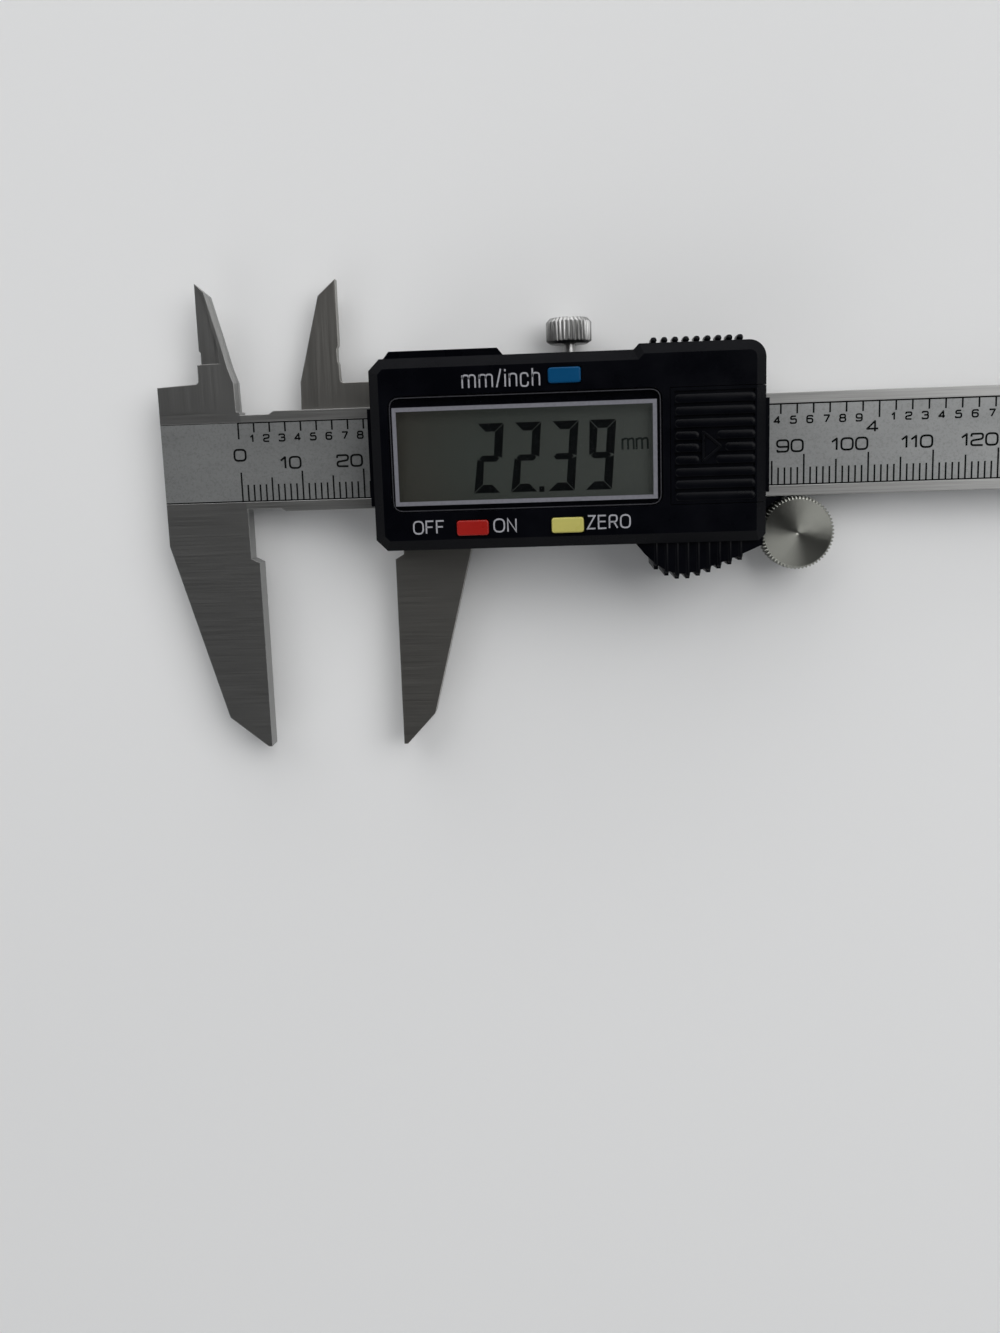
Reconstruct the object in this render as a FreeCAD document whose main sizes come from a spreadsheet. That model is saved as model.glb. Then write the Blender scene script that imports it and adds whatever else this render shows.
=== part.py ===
import FreeCAD, Part
import Sketcher
import os

from FreeCAD import Placement, Vector

# Digital caliper, 150 mm, lying on its back with the display up.
#
# Everything is drawn in datum coordinates and then moved by each sub-part's Placement:
#   X runs along the beam, and 0 is the scale's zero line.
#   Y is 0 on the beam's centreline, and points towards the inside jaws.
#   Z is 0 on the front face of the beam, and points out of the display.
# The Placement puts the row origin under the middle of the whole caliper, on its rear plate.

SIZES = {
    # opening between the jaws, as it stands at rest
    "opening": 22.39,
    # beam and fixed jaws
    "beam_width": 16.0, "beam_thick": 3.5, "beam_right": 220.0, "head_left": 12.7,
    "label_width": 12.68, "label_thick": 0.12, "label_sunk": 0.03, "label_slack": 0.02,
    "label_margin": 0.5, "strip_thick": 0.75, "strip_inset": 0.14,
    "edge_relief": 0.5, "relief_top_end": 5.1, "relief_bottom_end": 6.2, "relief_ramp": 0.8,
    "jaw_face": 2.1, "jaw_depth": 39.2, "jaw_kink": 5.1, "jaw_heel": 5.2, "jaw_nose": 0.6,
    "jaw_tip_width": 5.4, "jaw_root_width": 12.6, "jaw_relief": 1.4, "jaw_relief_depth": 7.6,
    "knife_edge": 5.75, "knife_top": 28.15, "knife_shoulder": 26.1, "knife_wide": 6.15,
    "shelf_high": 12.35, "shelf_slope": 0.35, "knife_step": 15.55, "knife_step_back": 0.15,
    "knife_notch": 17.5, "knife_relief": 0.28, "knife_pocket": 0.9, "knife_flank": 0.55,
    "corner_fillet": 0.6,
    # slider frame and moving jaws
    "slide_gap": 0.05, "back_wall": 1.6, "rail_top": 0.3, "gib_thick": 0.95, "gib_short": 1.5,
    "frame_setback": 0.21, "arm_drop": 1.0, "arm_root": 1.0, "inner_jaw_wide": 6.4,
    "inner_jaw_kink": 25.7, "inner_jaw_top_wide": 2.85, "jaw_split_gap": 0.05,
    # fasteners of the slider
    "set_screw_rad": 1.0, "set_screw_inset": 9.2, "set_screw_sunk": 0.5, "screw_point": 0.3,
    "socket_rad": 0.55, "socket_deep": 1.2,
    "post_inset": 5.1, "post_edge": 1.9, "post_rad": 1.95,
    "case_screw_rad": 0.8, "case_screw_head": 1.55, "case_screw_head_high": 0.9,
    "case_screw_length": 9.0, "screw_gap": 0.05,
    "plate_thick": 0.8, "plate_margin": 2.5, "plate_edge": 2.9,
    "plate_screw_in": 2.6, "plate_screw_rad": 0.7, "plate_screw_head": 1.3,
    "plate_screw_head_high": 0.35, "plate_screw_short": 0.3,
    # depth rod
    "rod_width": 3.1, "rod_thick": 1.45, "rod_hold": 21.0, "rod_gap": 0.12, "rod_notch": 3.0,
    "rivet_rad": 0.6, "rivet_pitch": 8.0, "groove_spare": 29.6,
    # end stop
    "stop_length": 8.5, "stop_half": 7.0, "stop_thick": 1.5, "stop_inset": 1.2,
    "stop_screw_rad": 0.8, "stop_screw_side": 4.6, "stop_screw_head": 1.4,
    # housing
    "case_overhang": 1.8, "case_wall": 1.3, "top_wall": 1.5, "bottom_wall": 1.1,
    "case_gap": 0.1, "case_end_gap": 0.25, "case_lift": 0.25,
    "case_chamfer": 1.6, "case_corner": 1.7, "case_low_corner": 1.0,
    "end_corner": 2.6, "crown_rise": 0.85, "crown_lead": 3.1,
    "rib_margin": 3.72, "rib_pitch": 1.61, "rib_wide": 0.62, "rib_high": 0.85, "rib_count": 9,
    "rib_below": 1.5, "rib_sink": 0.6, "crown_rib_long": 3.2,
    "thumb_rise": 7.3, "thumb_deep": 4.9, "thumb_end_deep": 0.7, "thumb_below": 1.0,
    "thumb_short": 0.3, "lip_out": 0.6, "lip_half": 7.4, "lip_below": 0.9,
    "window_inset": 2.94, "window_long": 41.21, "window_half": 8.725, "window_mid": 0.275,
    "window_thick": 0.9, "window_sunk": 0.1, "window_gap": 0.06, "window_corner": 1.7,
    "screen_left_edge": 0.66, "screen_right_edge": 0.85, "screen_low_edge": 1.05,
    "screen_high_edge": 1.75, "glass_thick": 1.7, "glass_over": 1.0, "holder_wall": 1.0,
    "zebra_wide": 1.3, "zebra_inset": 1.2, "zebra_edge": 0.3,
    # buttons
    "button_long": 4.9, "button_wide": 2.3, "button_proud": 0.45, "button_gap": 0.1,
    "button_travel": 0.4, "button_flange": 0.45, "button_flange_thick": 0.6,
    "button_stem_long": 2.6, "button_stem_wide": 1.5, "button_corner": 0.45,
    "button_space": 1.12, "button_low_space": 1.4, "button_wall_gap": 0.33,
    "mode_inset": 29.7, "power_inset": 15.2, "dome_rad": 1.5, "dome_high": 0.45,
    # electronics
    "board_thick": 1.0, "board_gap": 0.8, "board_edge": 0.3, "board_neck_edge": 1.4,
    "board_shoulder": 2.9, "chip_wide": 8.0, "chip_high": 1.1,
    # battery
    "cell_rad": 5.8, "cell_thick": 5.4, "cell_up": 0.3, "cell_gap": 0.15, "cell_lift": 1.9,
    "cell_headroom": 0.3, "cell_crimp": 0.3, "cell_cap_edge": 1.0,
    "tray_wall": 0.4, "tray_side": 1.25, "tray_under_cover": 0.9, "contact_thick": 0.25,
    "contact_wide": 3.0, "cover_space": 1.25, "cover_edge": 0.15, "cover_low_edge": 0.05,
    "cover_gap": 0.08, "cover_above_board": 0.7, "cover_lip": 0.5, "cover_lip_edge": 1.4,
    "groove_margin": 0.75, "groove_low_margin": 2.0, "groove_count": 9, "groove_end": 1.85,
    "groove_cut": 0.3, "groove_height": 0.5, "groove_inset": 0.55, "arrow_half": 1.4,
    # data port cover
    "port_inset": 1.6, "port_long": 18.7, "port_high": 1.45, "port_slope": 0.9,
    "port_back": 4.1, "port_front": 3.6, "port_gap": 0.03, "port_travel": 8.0,
    "port_edge": 0.35, "tongue_long": 3.5, "tongue_half": 1.5, "tongue_deep": 1.1,
    "tongue_inset": 2.5,
    # lock screw
    "lock_space": 2.25, "lock_rad": 1.02, "lock_head_rad": 3.6,
    "lock_head_gap": 2.0, "lock_head_tall": 3.95, "lock_head_chamfer": 0.6,
    "lock_collar_rad": 1.25, "lock_collar_high": 0.5, "lock_flutes": 30, "lock_flute_rad": 0.22,
    # thumb roller
    "roller_space": 0.4, "roller_rad": 5.8, "roller_back": 3.2, "roller_front": 1.6,
    "roller_bevel": 0.35, "roller_gap": 0.05, "roller_hole_deep": 3.6, "pin_rad": 1.0,
    "pin_gap": 0.05, "pin_head_rad": 1.9, "pin_head_high": 0.6, "bracket_thick": 1.1,
    "bracket_gap": 0.3, "bracket_eye": 2.6, "bracket_top": 0.25,
}


class Size:
    """A length that knows its value and the sheet expression that gives it."""

    def __init__(self, value, text):
        self.value = value
        self.text = text

    def __add__(self, other):
        return combine(self, "+", other, self.value + plain(other))

    def __radd__(self, other):
        return combine(other, "+", self, plain(other) + self.value)

    def __sub__(self, other):
        return combine(self, "-", other, self.value - plain(other))

    def __rsub__(self, other):
        return combine(other, "-", self, plain(other) - self.value)

    def __mul__(self, other):
        return combine(self, "*", other, self.value * plain(other))

    def __rmul__(self, other):
        return combine(other, "*", self, plain(other) * self.value)

    def __truediv__(self, other):
        return combine(self, "/", other, self.value / plain(other))

    def __pow__(self, power):
        return combine(self, "^", power, self.value ** power)

    def __neg__(self):
        return combine(0.0, "-", self, -self.value)


def plain(item):
    return item.value if isinstance(item, Size) else float(item)


def words(item):
    return item.text if isinstance(item, Size) else repr(float(item))


def combine(left, sign, right, value):
    return Size(value, "(" + words(left) + " " + sign + " " + words(right) + ")")


def as_size(item):
    return item if isinstance(item, Size) else Size(float(item), repr(float(item)))


doc = FreeCAD.newDocument("digital_caliper")
sheet = doc.addObject("Spreadsheet::Sheet", "dims")
for row, (alias, number) in enumerate(SIZES.items(), start=1):
    sheet.set("A%d" % row, alias)
    sheet.set("B%d" % row, str(number))
    sheet.setAlias("B%d" % row, alias)
doc.recompute()


class Dims:
    """Every cell of the sheet as an attribute."""


D = Dims()
for alias, number in SIZES.items():
    setattr(D, alias, Size(float(number), "dims." + alias))

# ---------------------------------------------------------------- derived places

# beam and jaws
BEAM_HALF = D.beam_width / 2
BEAM_BACK = -D.beam_thick
MID_LEVEL = -D.beam_thick / 2
HEAD_LEFT = -D.head_left
JAW_TIP = -(BEAM_HALF + D.jaw_depth)
JAW_KINK = JAW_TIP + D.jaw_kink
RELIEF_LOW = -(BEAM_HALF + D.jaw_relief_depth)
MOVING_FACE = D.jaw_face + D.opening
KNIFE_X = -D.knife_edge
KNIFE_RIGHT = KNIFE_X + D.knife_wide
SHELF_CORNER = D.shelf_high + D.shelf_slope * 0.7
MOVING_KNIFE_X = KNIFE_X + D.opening
RECESS_DEPTH = D.strip_thick + D.label_thick + D.label_sunk
RECESS_HALF = D.label_width / 2 + D.label_slack
GROOVE_HALF = D.rod_width / 2 + D.case_gap
GROOVE_DEPTH = D.rod_gap + D.rod_thick + D.rod_gap * 1.5

# along the slider, from the moving jaw to the housing's right end
FRAME_LEFT = MOVING_FACE + D.frame_setback
CASE_LEFT = FRAME_LEFT - D.case_overhang
WINDOW_LEFT = CASE_LEFT + D.window_inset
WINDOW_RIGHT = WINDOW_LEFT + D.window_long
COVER_LEFT = WINDOW_RIGHT + D.cover_space
TRAY_HALF_LONG = D.cell_rad + D.cell_gap + D.tray_wall
CELL_ALONG = COVER_LEFT + D.cover_edge + TRAY_HALF_LONG
CASE_RIGHT = CELL_ALONG + TRAY_HALF_LONG + D.case_end_gap + D.case_wall
COVER_RIGHT = CASE_RIGHT + D.cover_lip
FRAME_RIGHT = CASE_RIGHT - D.case_wall - D.case_gap * 4
POST_LEFT = CASE_LEFT + D.post_inset
POST_RIGHT = CASE_RIGHT - D.post_inset
PLATE_LEFT = POST_LEFT + D.case_screw_head + D.plate_margin
PLATE_RIGHT = POST_RIGHT - D.case_screw_head - D.plate_margin
SET_SCREW_FIRST = FRAME_LEFT + D.set_screw_inset
SET_SCREW_LAST = FRAME_RIGHT - D.set_screw_inset
ROD_LEFT = FRAME_RIGHT - D.rod_hold
ROD_TIP = D.beam_right + D.opening
GROOVE_LEFT = ROD_LEFT - D.opening - D.groove_spare
BOARD_LEFT = CASE_LEFT + D.case_wall + D.board_gap + D.case_gap * 6
BOARD_RIGHT = CASE_RIGHT - D.case_wall - D.board_gap
SCREEN_LEFT = WINDOW_LEFT + D.screen_left_edge
SCREEN_RIGHT = WINDOW_RIGHT - D.screen_right_edge
MODE_ALONG = CASE_LEFT + D.mode_inset
POWER_ALONG = CASE_LEFT + D.power_inset
GROOVES_LEFT = COVER_LEFT + D.groove_inset
GROOVES_RIGHT = CASE_RIGHT - D.groove_end
PORT_LEFT = CASE_LEFT + D.port_inset
PORT_RIGHT = PORT_LEFT + D.port_long
TONGUE_LEFT = PORT_LEFT + D.tongue_inset
LOCK_ALONG = PORT_RIGHT + D.port_travel + D.lock_space
RIB_LAST = CASE_RIGHT - D.rib_margin
RIB_FIRST = RIB_LAST - D.rib_pitch * (D.rib_count - 1)
CROWN_START = RIB_FIRST - D.crown_lead
THUMB_START = CROWN_START
THUMB_PEAK = THUMB_START + D.thumb_rise
THUMB_END = CASE_RIGHT - D.thumb_short
ROLLER_ALONG = CASE_RIGHT + D.roller_space + D.roller_rad

# across the slider, from the display's window out to the housing's walls
WINDOW_HIGH = D.window_mid + D.window_half
WINDOW_LOW = D.window_mid - D.window_half
MODE_UP = WINDOW_HIGH + D.button_space + D.button_wide / 2
LOWER_BUTTONS = WINDOW_LOW - D.button_low_space - D.button_wide / 2
INNER = MODE_UP + D.button_wide / 2 + D.button_flange + D.button_wall_gap
RAIL_OUTER = INNER - D.case_gap
ARM_HIGH = RAIL_OUTER - D.arm_drop
CASE_HIGH = INNER + D.top_wall
CASE_LOW = -(INNER + D.bottom_wall)
CROWN = CASE_HIGH + D.crown_rise
POST_SIDE = RAIL_OUTER - D.post_edge
PLATE_HALF = RAIL_OUTER - D.plate_edge
GIB_LOW = BEAM_HALF + D.slide_gap
GIB_HIGH = GIB_LOW + D.gib_thick
RAIL_HIGH = GIB_HIGH + D.slide_gap
RAIL_LOW = -(BEAM_HALF + D.slide_gap)
COVER_HIGH = WINDOW_HIGH - D.cover_edge
COVER_LOW = WINDOW_LOW + D.cover_low_edge
COVER_LIP_HALF = -COVER_LOW - D.cover_lip_edge
SCREEN_HIGH = WINDOW_HIGH - D.screen_high_edge
SCREEN_LOW = WINDOW_LOW + D.screen_low_edge
GROOVE_FIRST = COVER_HIGH - D.groove_margin
GROOVE_LAST = COVER_LOW + D.groove_low_margin
GROOVE_PITCH = (GROOVE_FIRST - GROOVE_LAST) / (D.groove_count - 1)
TRAY_HALF = D.cell_rad + D.cell_gap + D.tray_side
BOARD_NECK = TRAY_HALF + D.board_neck_edge
BOARD_HALF = RAIL_OUTER - D.board_edge
LOCK_HEAD_LOW = CASE_HIGH + D.lock_head_gap
LOCK_HEAD_HIGH = LOCK_HEAD_LOW + D.lock_head_tall
ROLLER_UP = -(BEAM_HALF + D.roller_gap + D.roller_rad)

# heights, from the rear plate to the front
CHANNEL_BACK = BEAM_BACK - D.slide_gap
FRAME_BACK = CHANNEL_BACK - D.back_wall
PLATE_BACK = FRAME_BACK - D.plate_thick
CASE_BACK = FRAME_BACK + D.case_lift
BOARD_TOP = D.rail_top + D.board_thick
CELL_LOW = BOARD_TOP + D.cell_lift
CELL_TOP = CELL_LOW + D.cell_thick
CEILING = CELL_TOP + D.cell_headroom
CASE_FRONT = CEILING + D.case_wall
WINDOW_FLOOR = CASE_FRONT - D.window_sunk - D.window_thick
GLASS_TOP = CEILING - D.slide_gap
GLASS_LOW = GLASS_TOP - D.glass_thick
COVER_BOTTOM = BOARD_TOP + D.cover_above_board

CELL_PLACE = (CELL_ALONG, D.cell_up)
ROLLER_PLACE = (ROLLER_ALONG, ROLLER_UP)
ORIGIN = ((ROD_TIP + HEAD_LEFT) / 2, (D.knife_top + JAW_TIP) / 2, PLATE_BACK)

subparts = []


# ---------------------------------------------------------------- drawing helpers

def finish(item, label):
    """Name a sub-part and move it from datum coordinates to the row frame."""
    item.Label = label
    for axis, shift in zip("xyz", ORIGIN):
        item.setExpression(".Placement.Base." + axis, (-shift).text)
    subparts.append(item)
    return item


def new_body(name):
    return doc.addObject("PartDesign::Body", name + "_body")


def plane_of(body, role):
    for feature in body.Origin.OriginFeatures:
        if feature.Role == role:
            return feature
    raise ValueError(role)


def new_sketch(body, name, role="XY_Plane", offset=(0.0, 0.0, 0.0)):
    """An empty sketch on an origin plane, moved by offset in the plane's own axes."""
    sketch = body.newObject("Sketcher::SketchObject", name)
    sketch.AttachmentSupport = [(plane_of(body, role), "")]
    sketch.MapMode = "FlatFace"
    sketch.AttachmentOffset = Placement(Vector(*[plain(v) for v in offset]), FreeCAD.Rotation())
    for axis, item in zip("xyz", offset):
        if isinstance(item, Size):
            sketch.setExpression(".AttachmentOffset.Base." + axis, item.text)
    return sketch


def place_point(sketch, geometry, point, place):
    """Hold one point of a sketch at (x, y), each bound to the sheet."""
    for kind, item in zip(("DistanceX", "DistanceY"), place):
        item = as_size(item)
        index = sketch.addConstraint(
            Sketcher.Constraint(kind, -1, 1, geometry, point, item.value))
        if "dims." in item.text:
            sketch.setExpression("Constraints[%d]" % index, item.text)


def draw_polygon(sketch, corners):
    """A closed polygon, each corner held by its own two distances."""
    places = [Vector(plain(x), plain(y), 0) for x, y in corners]
    first = len(sketch.Geometry)
    count = len(places)
    for i in range(count):
        sketch.addGeometry(Part.LineSegment(places[i], places[(i + 1) % count]), False)
    for i in range(count):
        following = first + (i + 1) % count
        sketch.addConstraint(Sketcher.Constraint("Coincident", first + i, 2, following, 1))
    for i, corner in enumerate(corners):
        place_point(sketch, first + i, 1, corner)


def draw_box(sketch, left, right, low, high):
    draw_polygon(sketch, [(left, low), (right, low), (right, high), (left, high)])


def draw_circle(sketch, centre, radius):
    radius = as_size(radius)
    middle = Vector(plain(centre[0]), plain(centre[1]), 0)
    index = sketch.addGeometry(Part.Circle(middle, Vector(0, 0, 1), radius.value), False)
    place_point(sketch, index, 3, centre)
    held = sketch.addConstraint(Sketcher.Constraint("Radius", index, radius.value))
    if "dims." in radius.text:
        sketch.setExpression("Constraints[%d]" % held, radius.text)


def extrude(body, kind, sketch, length):
    """Pad goes up from its sketch, Pocket goes down from it."""
    feature = body.newObject("PartDesign::" + kind, sketch.Name + "_" + kind.lower())
    feature.Profile = sketch
    length = as_size(length)
    feature.Length = length.value
    if "dims." in length.text:
        feature.setExpression("Length", length.text)
    sketch.Visibility = False
    return feature


def pad(body, name, draw, low, high):
    """Material between two heights, over what draw puts in the sketch."""
    sketch = new_sketch(body, name, offset=(0.0, 0.0, low))
    draw(sketch)
    return extrude(body, "Pad", sketch, as_size(high) - low)


def cut(body, name, draw, low, high):
    """The same, taken away."""
    sketch = new_sketch(body, name, offset=(0.0, 0.0, high))
    draw(sketch)
    return extrude(body, "Pocket", sketch, as_size(high) - low)


def box_of(left, right, low, high):
    return lambda sketch: draw_box(sketch, left, right, low, high)


def shape_of(corners):
    return lambda sketch: draw_polygon(sketch, corners)


def circles_of(centres, radius):
    def draw(sketch):
        for centre in centres:
            draw_circle(sketch, centre, radius)
    return draw


def cut_across(body, name, centres, radius, low, high):
    """Round holes that run along Y, between two values of Y. Centres are (x, z)."""
    sketch = new_sketch(body, name, "XZ_Plane", (0.0, 0.0, -as_size(low)))
    for centre in centres:
        draw_circle(sketch, centre, radius)
    return extrude(body, "Pocket", sketch, as_size(high) - low)


def turn(body, name, axis_at, profile, along):
    """A solid of revolution. Along "Y" the profile is (radius, y) at (x, z) = axis_at,
    and along "Z" it is (radius, z) at (x, y) = axis_at."""
    if along == "Y":
        sketch = new_sketch(body, name, "XY_Plane", (axis_at[0], 0.0, axis_at[1]))
    else:
        sketch = new_sketch(body, name, "XZ_Plane", (axis_at[0], 0.0, -as_size(axis_at[1])))
    draw_polygon(sketch, profile)
    feature = body.newObject("PartDesign::Revolution", name + "_turn")
    feature.Profile = sketch
    feature.ReferenceAxis = (sketch, ["V_Axis"])
    feature.Angle = 360.0
    sketch.Visibility = False
    return feature


def dress(body, kind, name, amount, chosen):
    """Fillet or Chamfer of the tip's edges that chosen(edge) picks."""
    doc.recompute()
    base = body.Tip
    names = []
    for i, edge in enumerate(base.Shape.Edges, start=1):
        if chosen(edge):
            names.append("Edge%d" % i)
    if not names:
        raise ValueError("no edge for " + name)
    feature = body.newObject("PartDesign::" + kind, name)
    feature.Base = (base, names)
    amount = as_size(amount)
    key = "Radius" if kind == "Fillet" else "Size"
    setattr(feature, key, amount.value)
    if "dims." in amount.text:
        feature.setExpression(key, amount.text)
    body.Tip = feature
    return feature


def near(number, item, slack=1e-4):
    return abs(number - plain(item)) < slack


def upright_at(places):
    """Picks the edges along Z that stand at one of the given (x, y) places."""
    def chosen(edge):
        box = edge.BoundBox
        if box.XLength > 1e-4 or box.YLength > 1e-4:
            return False
        return any(near(box.XMin, x) and near(box.YMin, y) for x, y in places)
    return chosen


def level_edges(height, inside=None):
    """Picks the edges that lie flat at one height, and inside an (x0, x1, y0, y1) window."""
    def chosen(edge):
        box = edge.BoundBox
        if box.ZLength > 1e-4 or not near(box.ZMin, height):
            return False
        if inside is None:
            return True
        left, right, low, high = [plain(v) for v in inside]
        return left <= box.XMin and box.XMax <= right and low <= box.YMin and box.YMax <= high
    return chosen


# ---------------------------------------------------------------- beam

def beam_outline():
    """Beam and fixed outside jaw, which have the full thickness."""
    relief_x = D.jaw_face - D.jaw_relief
    return [
        (HEAD_LEFT, BEAM_HALF),
        (HEAD_LEFT, -(BEAM_HALF + D.jaw_heel)),
        (D.jaw_face - D.jaw_tip_width - D.jaw_relief, JAW_KINK),
        (D.jaw_face - D.jaw_nose, JAW_TIP),
        (D.jaw_face, JAW_TIP),
        (D.jaw_face, RELIEF_LOW - D.jaw_relief / 2),
        (relief_x, RELIEF_LOW),
        (relief_x, -BEAM_HALF),
        (D.beam_right, -BEAM_HALF),
        (D.beam_right, BEAM_HALF),
    ]


def fixed_knife_outline():
    """Head block and fixed inside jaw, which have only the front half of the thickness."""
    back = KNIFE_X - D.knife_step_back
    return [
        (HEAD_LEFT, BEAM_HALF - D.relief_ramp),
        (HEAD_LEFT, D.shelf_high - D.shelf_slope / 3),
        (back, SHELF_CORNER),
        (back, D.knife_step),
        (KNIFE_X + D.knife_relief, D.knife_step),
        (KNIFE_X + D.knife_relief, D.knife_notch),
        (KNIFE_X, D.knife_notch + D.knife_relief),
        (KNIFE_X, D.knife_top),
        (KNIFE_X + D.knife_wide * 0.39, D.knife_shoulder),
        (KNIFE_X + D.knife_wide * 0.68, D.knife_notch * 1.097),
        (KNIFE_X + D.knife_wide * 0.85, D.knife_step * 0.961),
        (KNIFE_X + D.knife_wide * 0.98, SHELF_CORNER),
        (KNIFE_RIGHT, BEAM_HALF - D.relief_ramp),
    ]


def knife_pocket_outline():
    """The ground hollow in the front of the fixed inside jaw."""
    clear = D.knife_pocket
    wall = KNIFE_X + D.knife_wide * 0.55
    return [
        (KNIFE_X - clear, D.knife_step + D.case_gap / 2),
        (wall, D.knife_step + D.case_gap),
        (wall, D.knife_notch + D.knife_relief),
        (KNIFE_X + D.knife_wide * 0.25, D.knife_shoulder),
        (KNIFE_X, D.knife_top + clear),
        (KNIFE_X - clear, D.knife_top + clear),
    ]


def relief_outline(start, end, side):
    """A shallow notch along one beam edge, with a ramp at its far end."""
    deep = (BEAM_HALF - D.edge_relief) * side
    out = (BEAM_HALF + 0.02) * side
    return [(start, deep), (end, deep), (end + D.relief_ramp, out), (start, out)]


def make_main_beam():
    body = new_body("main_beam")
    pad(body, "beam_plate", shape_of(beam_outline()), BEAM_BACK, 0.0)
    pad(body, "fixed_knife", shape_of(fixed_knife_outline()), MID_LEVEL, 0.0)
    flank = (KNIFE_X + D.knife_wide * 0.38, KNIFE_RIGHT + 0.1, BEAM_HALF - 1,
             D.knife_shoulder + 0.1)
    dress(body, "Chamfer", "flank_bevel", D.knife_flank, level_edges(0.0, flank))
    cut(body, "knife_hollow", shape_of(knife_pocket_outline()), -D.knife_pocket, 0.1)
    top_notch = relief_outline(KNIFE_RIGHT, D.relief_top_end, 1.0)
    cut(body, "top_relief", shape_of(top_notch), BEAM_BACK - 0.1, 0.1)
    low_notch = relief_outline(D.jaw_face - D.jaw_relief, D.relief_bottom_end, -1.0)
    cut(body, "bottom_relief", shape_of(low_notch), BEAM_BACK - 0.1, 0.1)
    half = RECESS_HALF
    cut(body, "label_recess", box_of(HEAD_LEFT - 1, D.beam_right + 1, -half, half),
        -RECESS_DEPTH, 0.1)
    half = GROOVE_HALF
    cut(body, "rod_groove", box_of(GROOVE_LEFT, D.beam_right + 1, -half, half),
        BEAM_BACK - 0.1, BEAM_BACK + GROOVE_DEPTH)
    cut(body, "stop_holes", circles_of(stop_screw_places(), D.stop_screw_rad + D.screw_gap),
        BEAM_BACK - 0.1, -RECESS_DEPTH + 0.1)
    inner = (KNIFE_X - D.knife_step_back, SHELF_CORNER)
    dress(body, "Fillet", "shelf_fillet", D.corner_fillet, upright_at([inner]))
    finish(body, "main_beam")


def make_stator_strip():
    body = new_body("stator_strip")
    half = D.label_width / 2 - D.strip_inset
    low = -RECESS_DEPTH
    pad(body, "strip", box_of(HEAD_LEFT + D.label_margin, D.beam_right - D.label_margin,
                              -half, half), low, low + D.strip_thick)
    finish(body, "stator_strip")


def make_scale_label():
    body = new_body("scale_label")
    half = D.label_width / 2
    low = -RECESS_DEPTH + D.strip_thick
    pad(body, "label", box_of(HEAD_LEFT, D.beam_right, -half, half), low, low + D.label_thick)
    finish(body, "scale_label")


# ---------------------------------------------------------------- end stop

STOP_RIGHT = D.beam_right - D.stop_inset


def stop_screw_places():
    along = STOP_RIGHT - D.stop_length / 2
    return [(along, D.stop_screw_side), (along, -D.stop_screw_side)]


def make_end_stop():
    body = new_body("end_stop")
    low = BEAM_BACK - D.stop_thick
    pad(body, "stop_plate", box_of(STOP_RIGHT - D.stop_length, STOP_RIGHT,
                                   -D.stop_half, D.stop_half), low, BEAM_BACK)
    cut(body, "stop_plate_holes", circles_of(stop_screw_places(), D.stop_screw_rad + D.screw_gap),
        low - 0.1, BEAM_BACK + 0.1)
    cut(body, "stop_plate_seats",
        circles_of(stop_screw_places(), D.stop_screw_head + D.screw_gap),
        low - 0.1, low + D.stop_thick / 2)
    finish(body, "end_stop")


def screw_group(label, places, head_low, head_high, head_rad, shank_rad, tip):
    """Pan-headed screws driven from the back, each with a cross recess in its head."""
    body = new_body(label)
    pad(body, label + "_shanks", circles_of(places, shank_rad), head_low, tip)
    pad(body, label + "_heads", circles_of(places, head_rad), head_low, head_high)
    arm = head_rad * 0.62
    slot = head_rad * 0.14

    def crosses(sketch):
        for x, y in places:
            draw_polygon(sketch, [
                (x - arm, y - slot), (x - slot, y - slot), (x - slot, y - arm),
                (x + slot, y - arm), (x + slot, y - slot), (x + arm, y - slot),
                (x + arm, y + slot), (x + slot, y + slot), (x + slot, y + arm),
                (x - slot, y + arm), (x - slot, y + slot), (x - arm, y + slot)])
    cut(body, label + "_recesses", crosses, head_low - 0.1, head_low + head_rad * 0.25)
    finish(body, label)


def make_end_stop_screws():
    low = BEAM_BACK - D.stop_thick
    screw_group("end_stop_screws", stop_screw_places(), low, low + D.stop_thick / 2,
                D.stop_screw_head, D.stop_screw_rad, -RECESS_DEPTH)


# ---------------------------------------------------------------- slider frame

def post_places():
    return [(POST_LEFT, POST_SIDE), (POST_LEFT, -POST_SIDE),
            (POST_RIGHT, POST_SIDE), (POST_RIGHT, -POST_SIDE)]


def plate_screw_places():
    side = PLATE_HALF - D.plate_screw_in
    left = PLATE_LEFT + D.plate_screw_in
    right = PLATE_RIGHT - D.plate_screw_in
    return [(left, side), (left, -side), (right, side), (right, -side)]


def rivet_places():
    return [(ROD_LEFT + D.rivet_pitch / 4, 0.0), (ROD_LEFT + D.rivet_pitch * 1.25, 0.0)]


def outside_jaw_outline():
    """Moving outside jaw, from its measuring face round to the frame."""
    face = MOVING_FACE
    root = face + D.jaw_root_width
    heel = -(RAIL_OUTER - D.jaw_nose)
    return [
        (face, JAW_TIP),
        (face + D.jaw_nose, JAW_TIP),
        (face + D.jaw_tip_width, JAW_KINK),
        (root, CASE_LOW),
        (root, heel),
        (face + D.jaw_relief, heel),
        (face + D.jaw_relief, RELIEF_LOW),
        (face, RELIEF_LOW - D.jaw_relief / 2),
    ]


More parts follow.
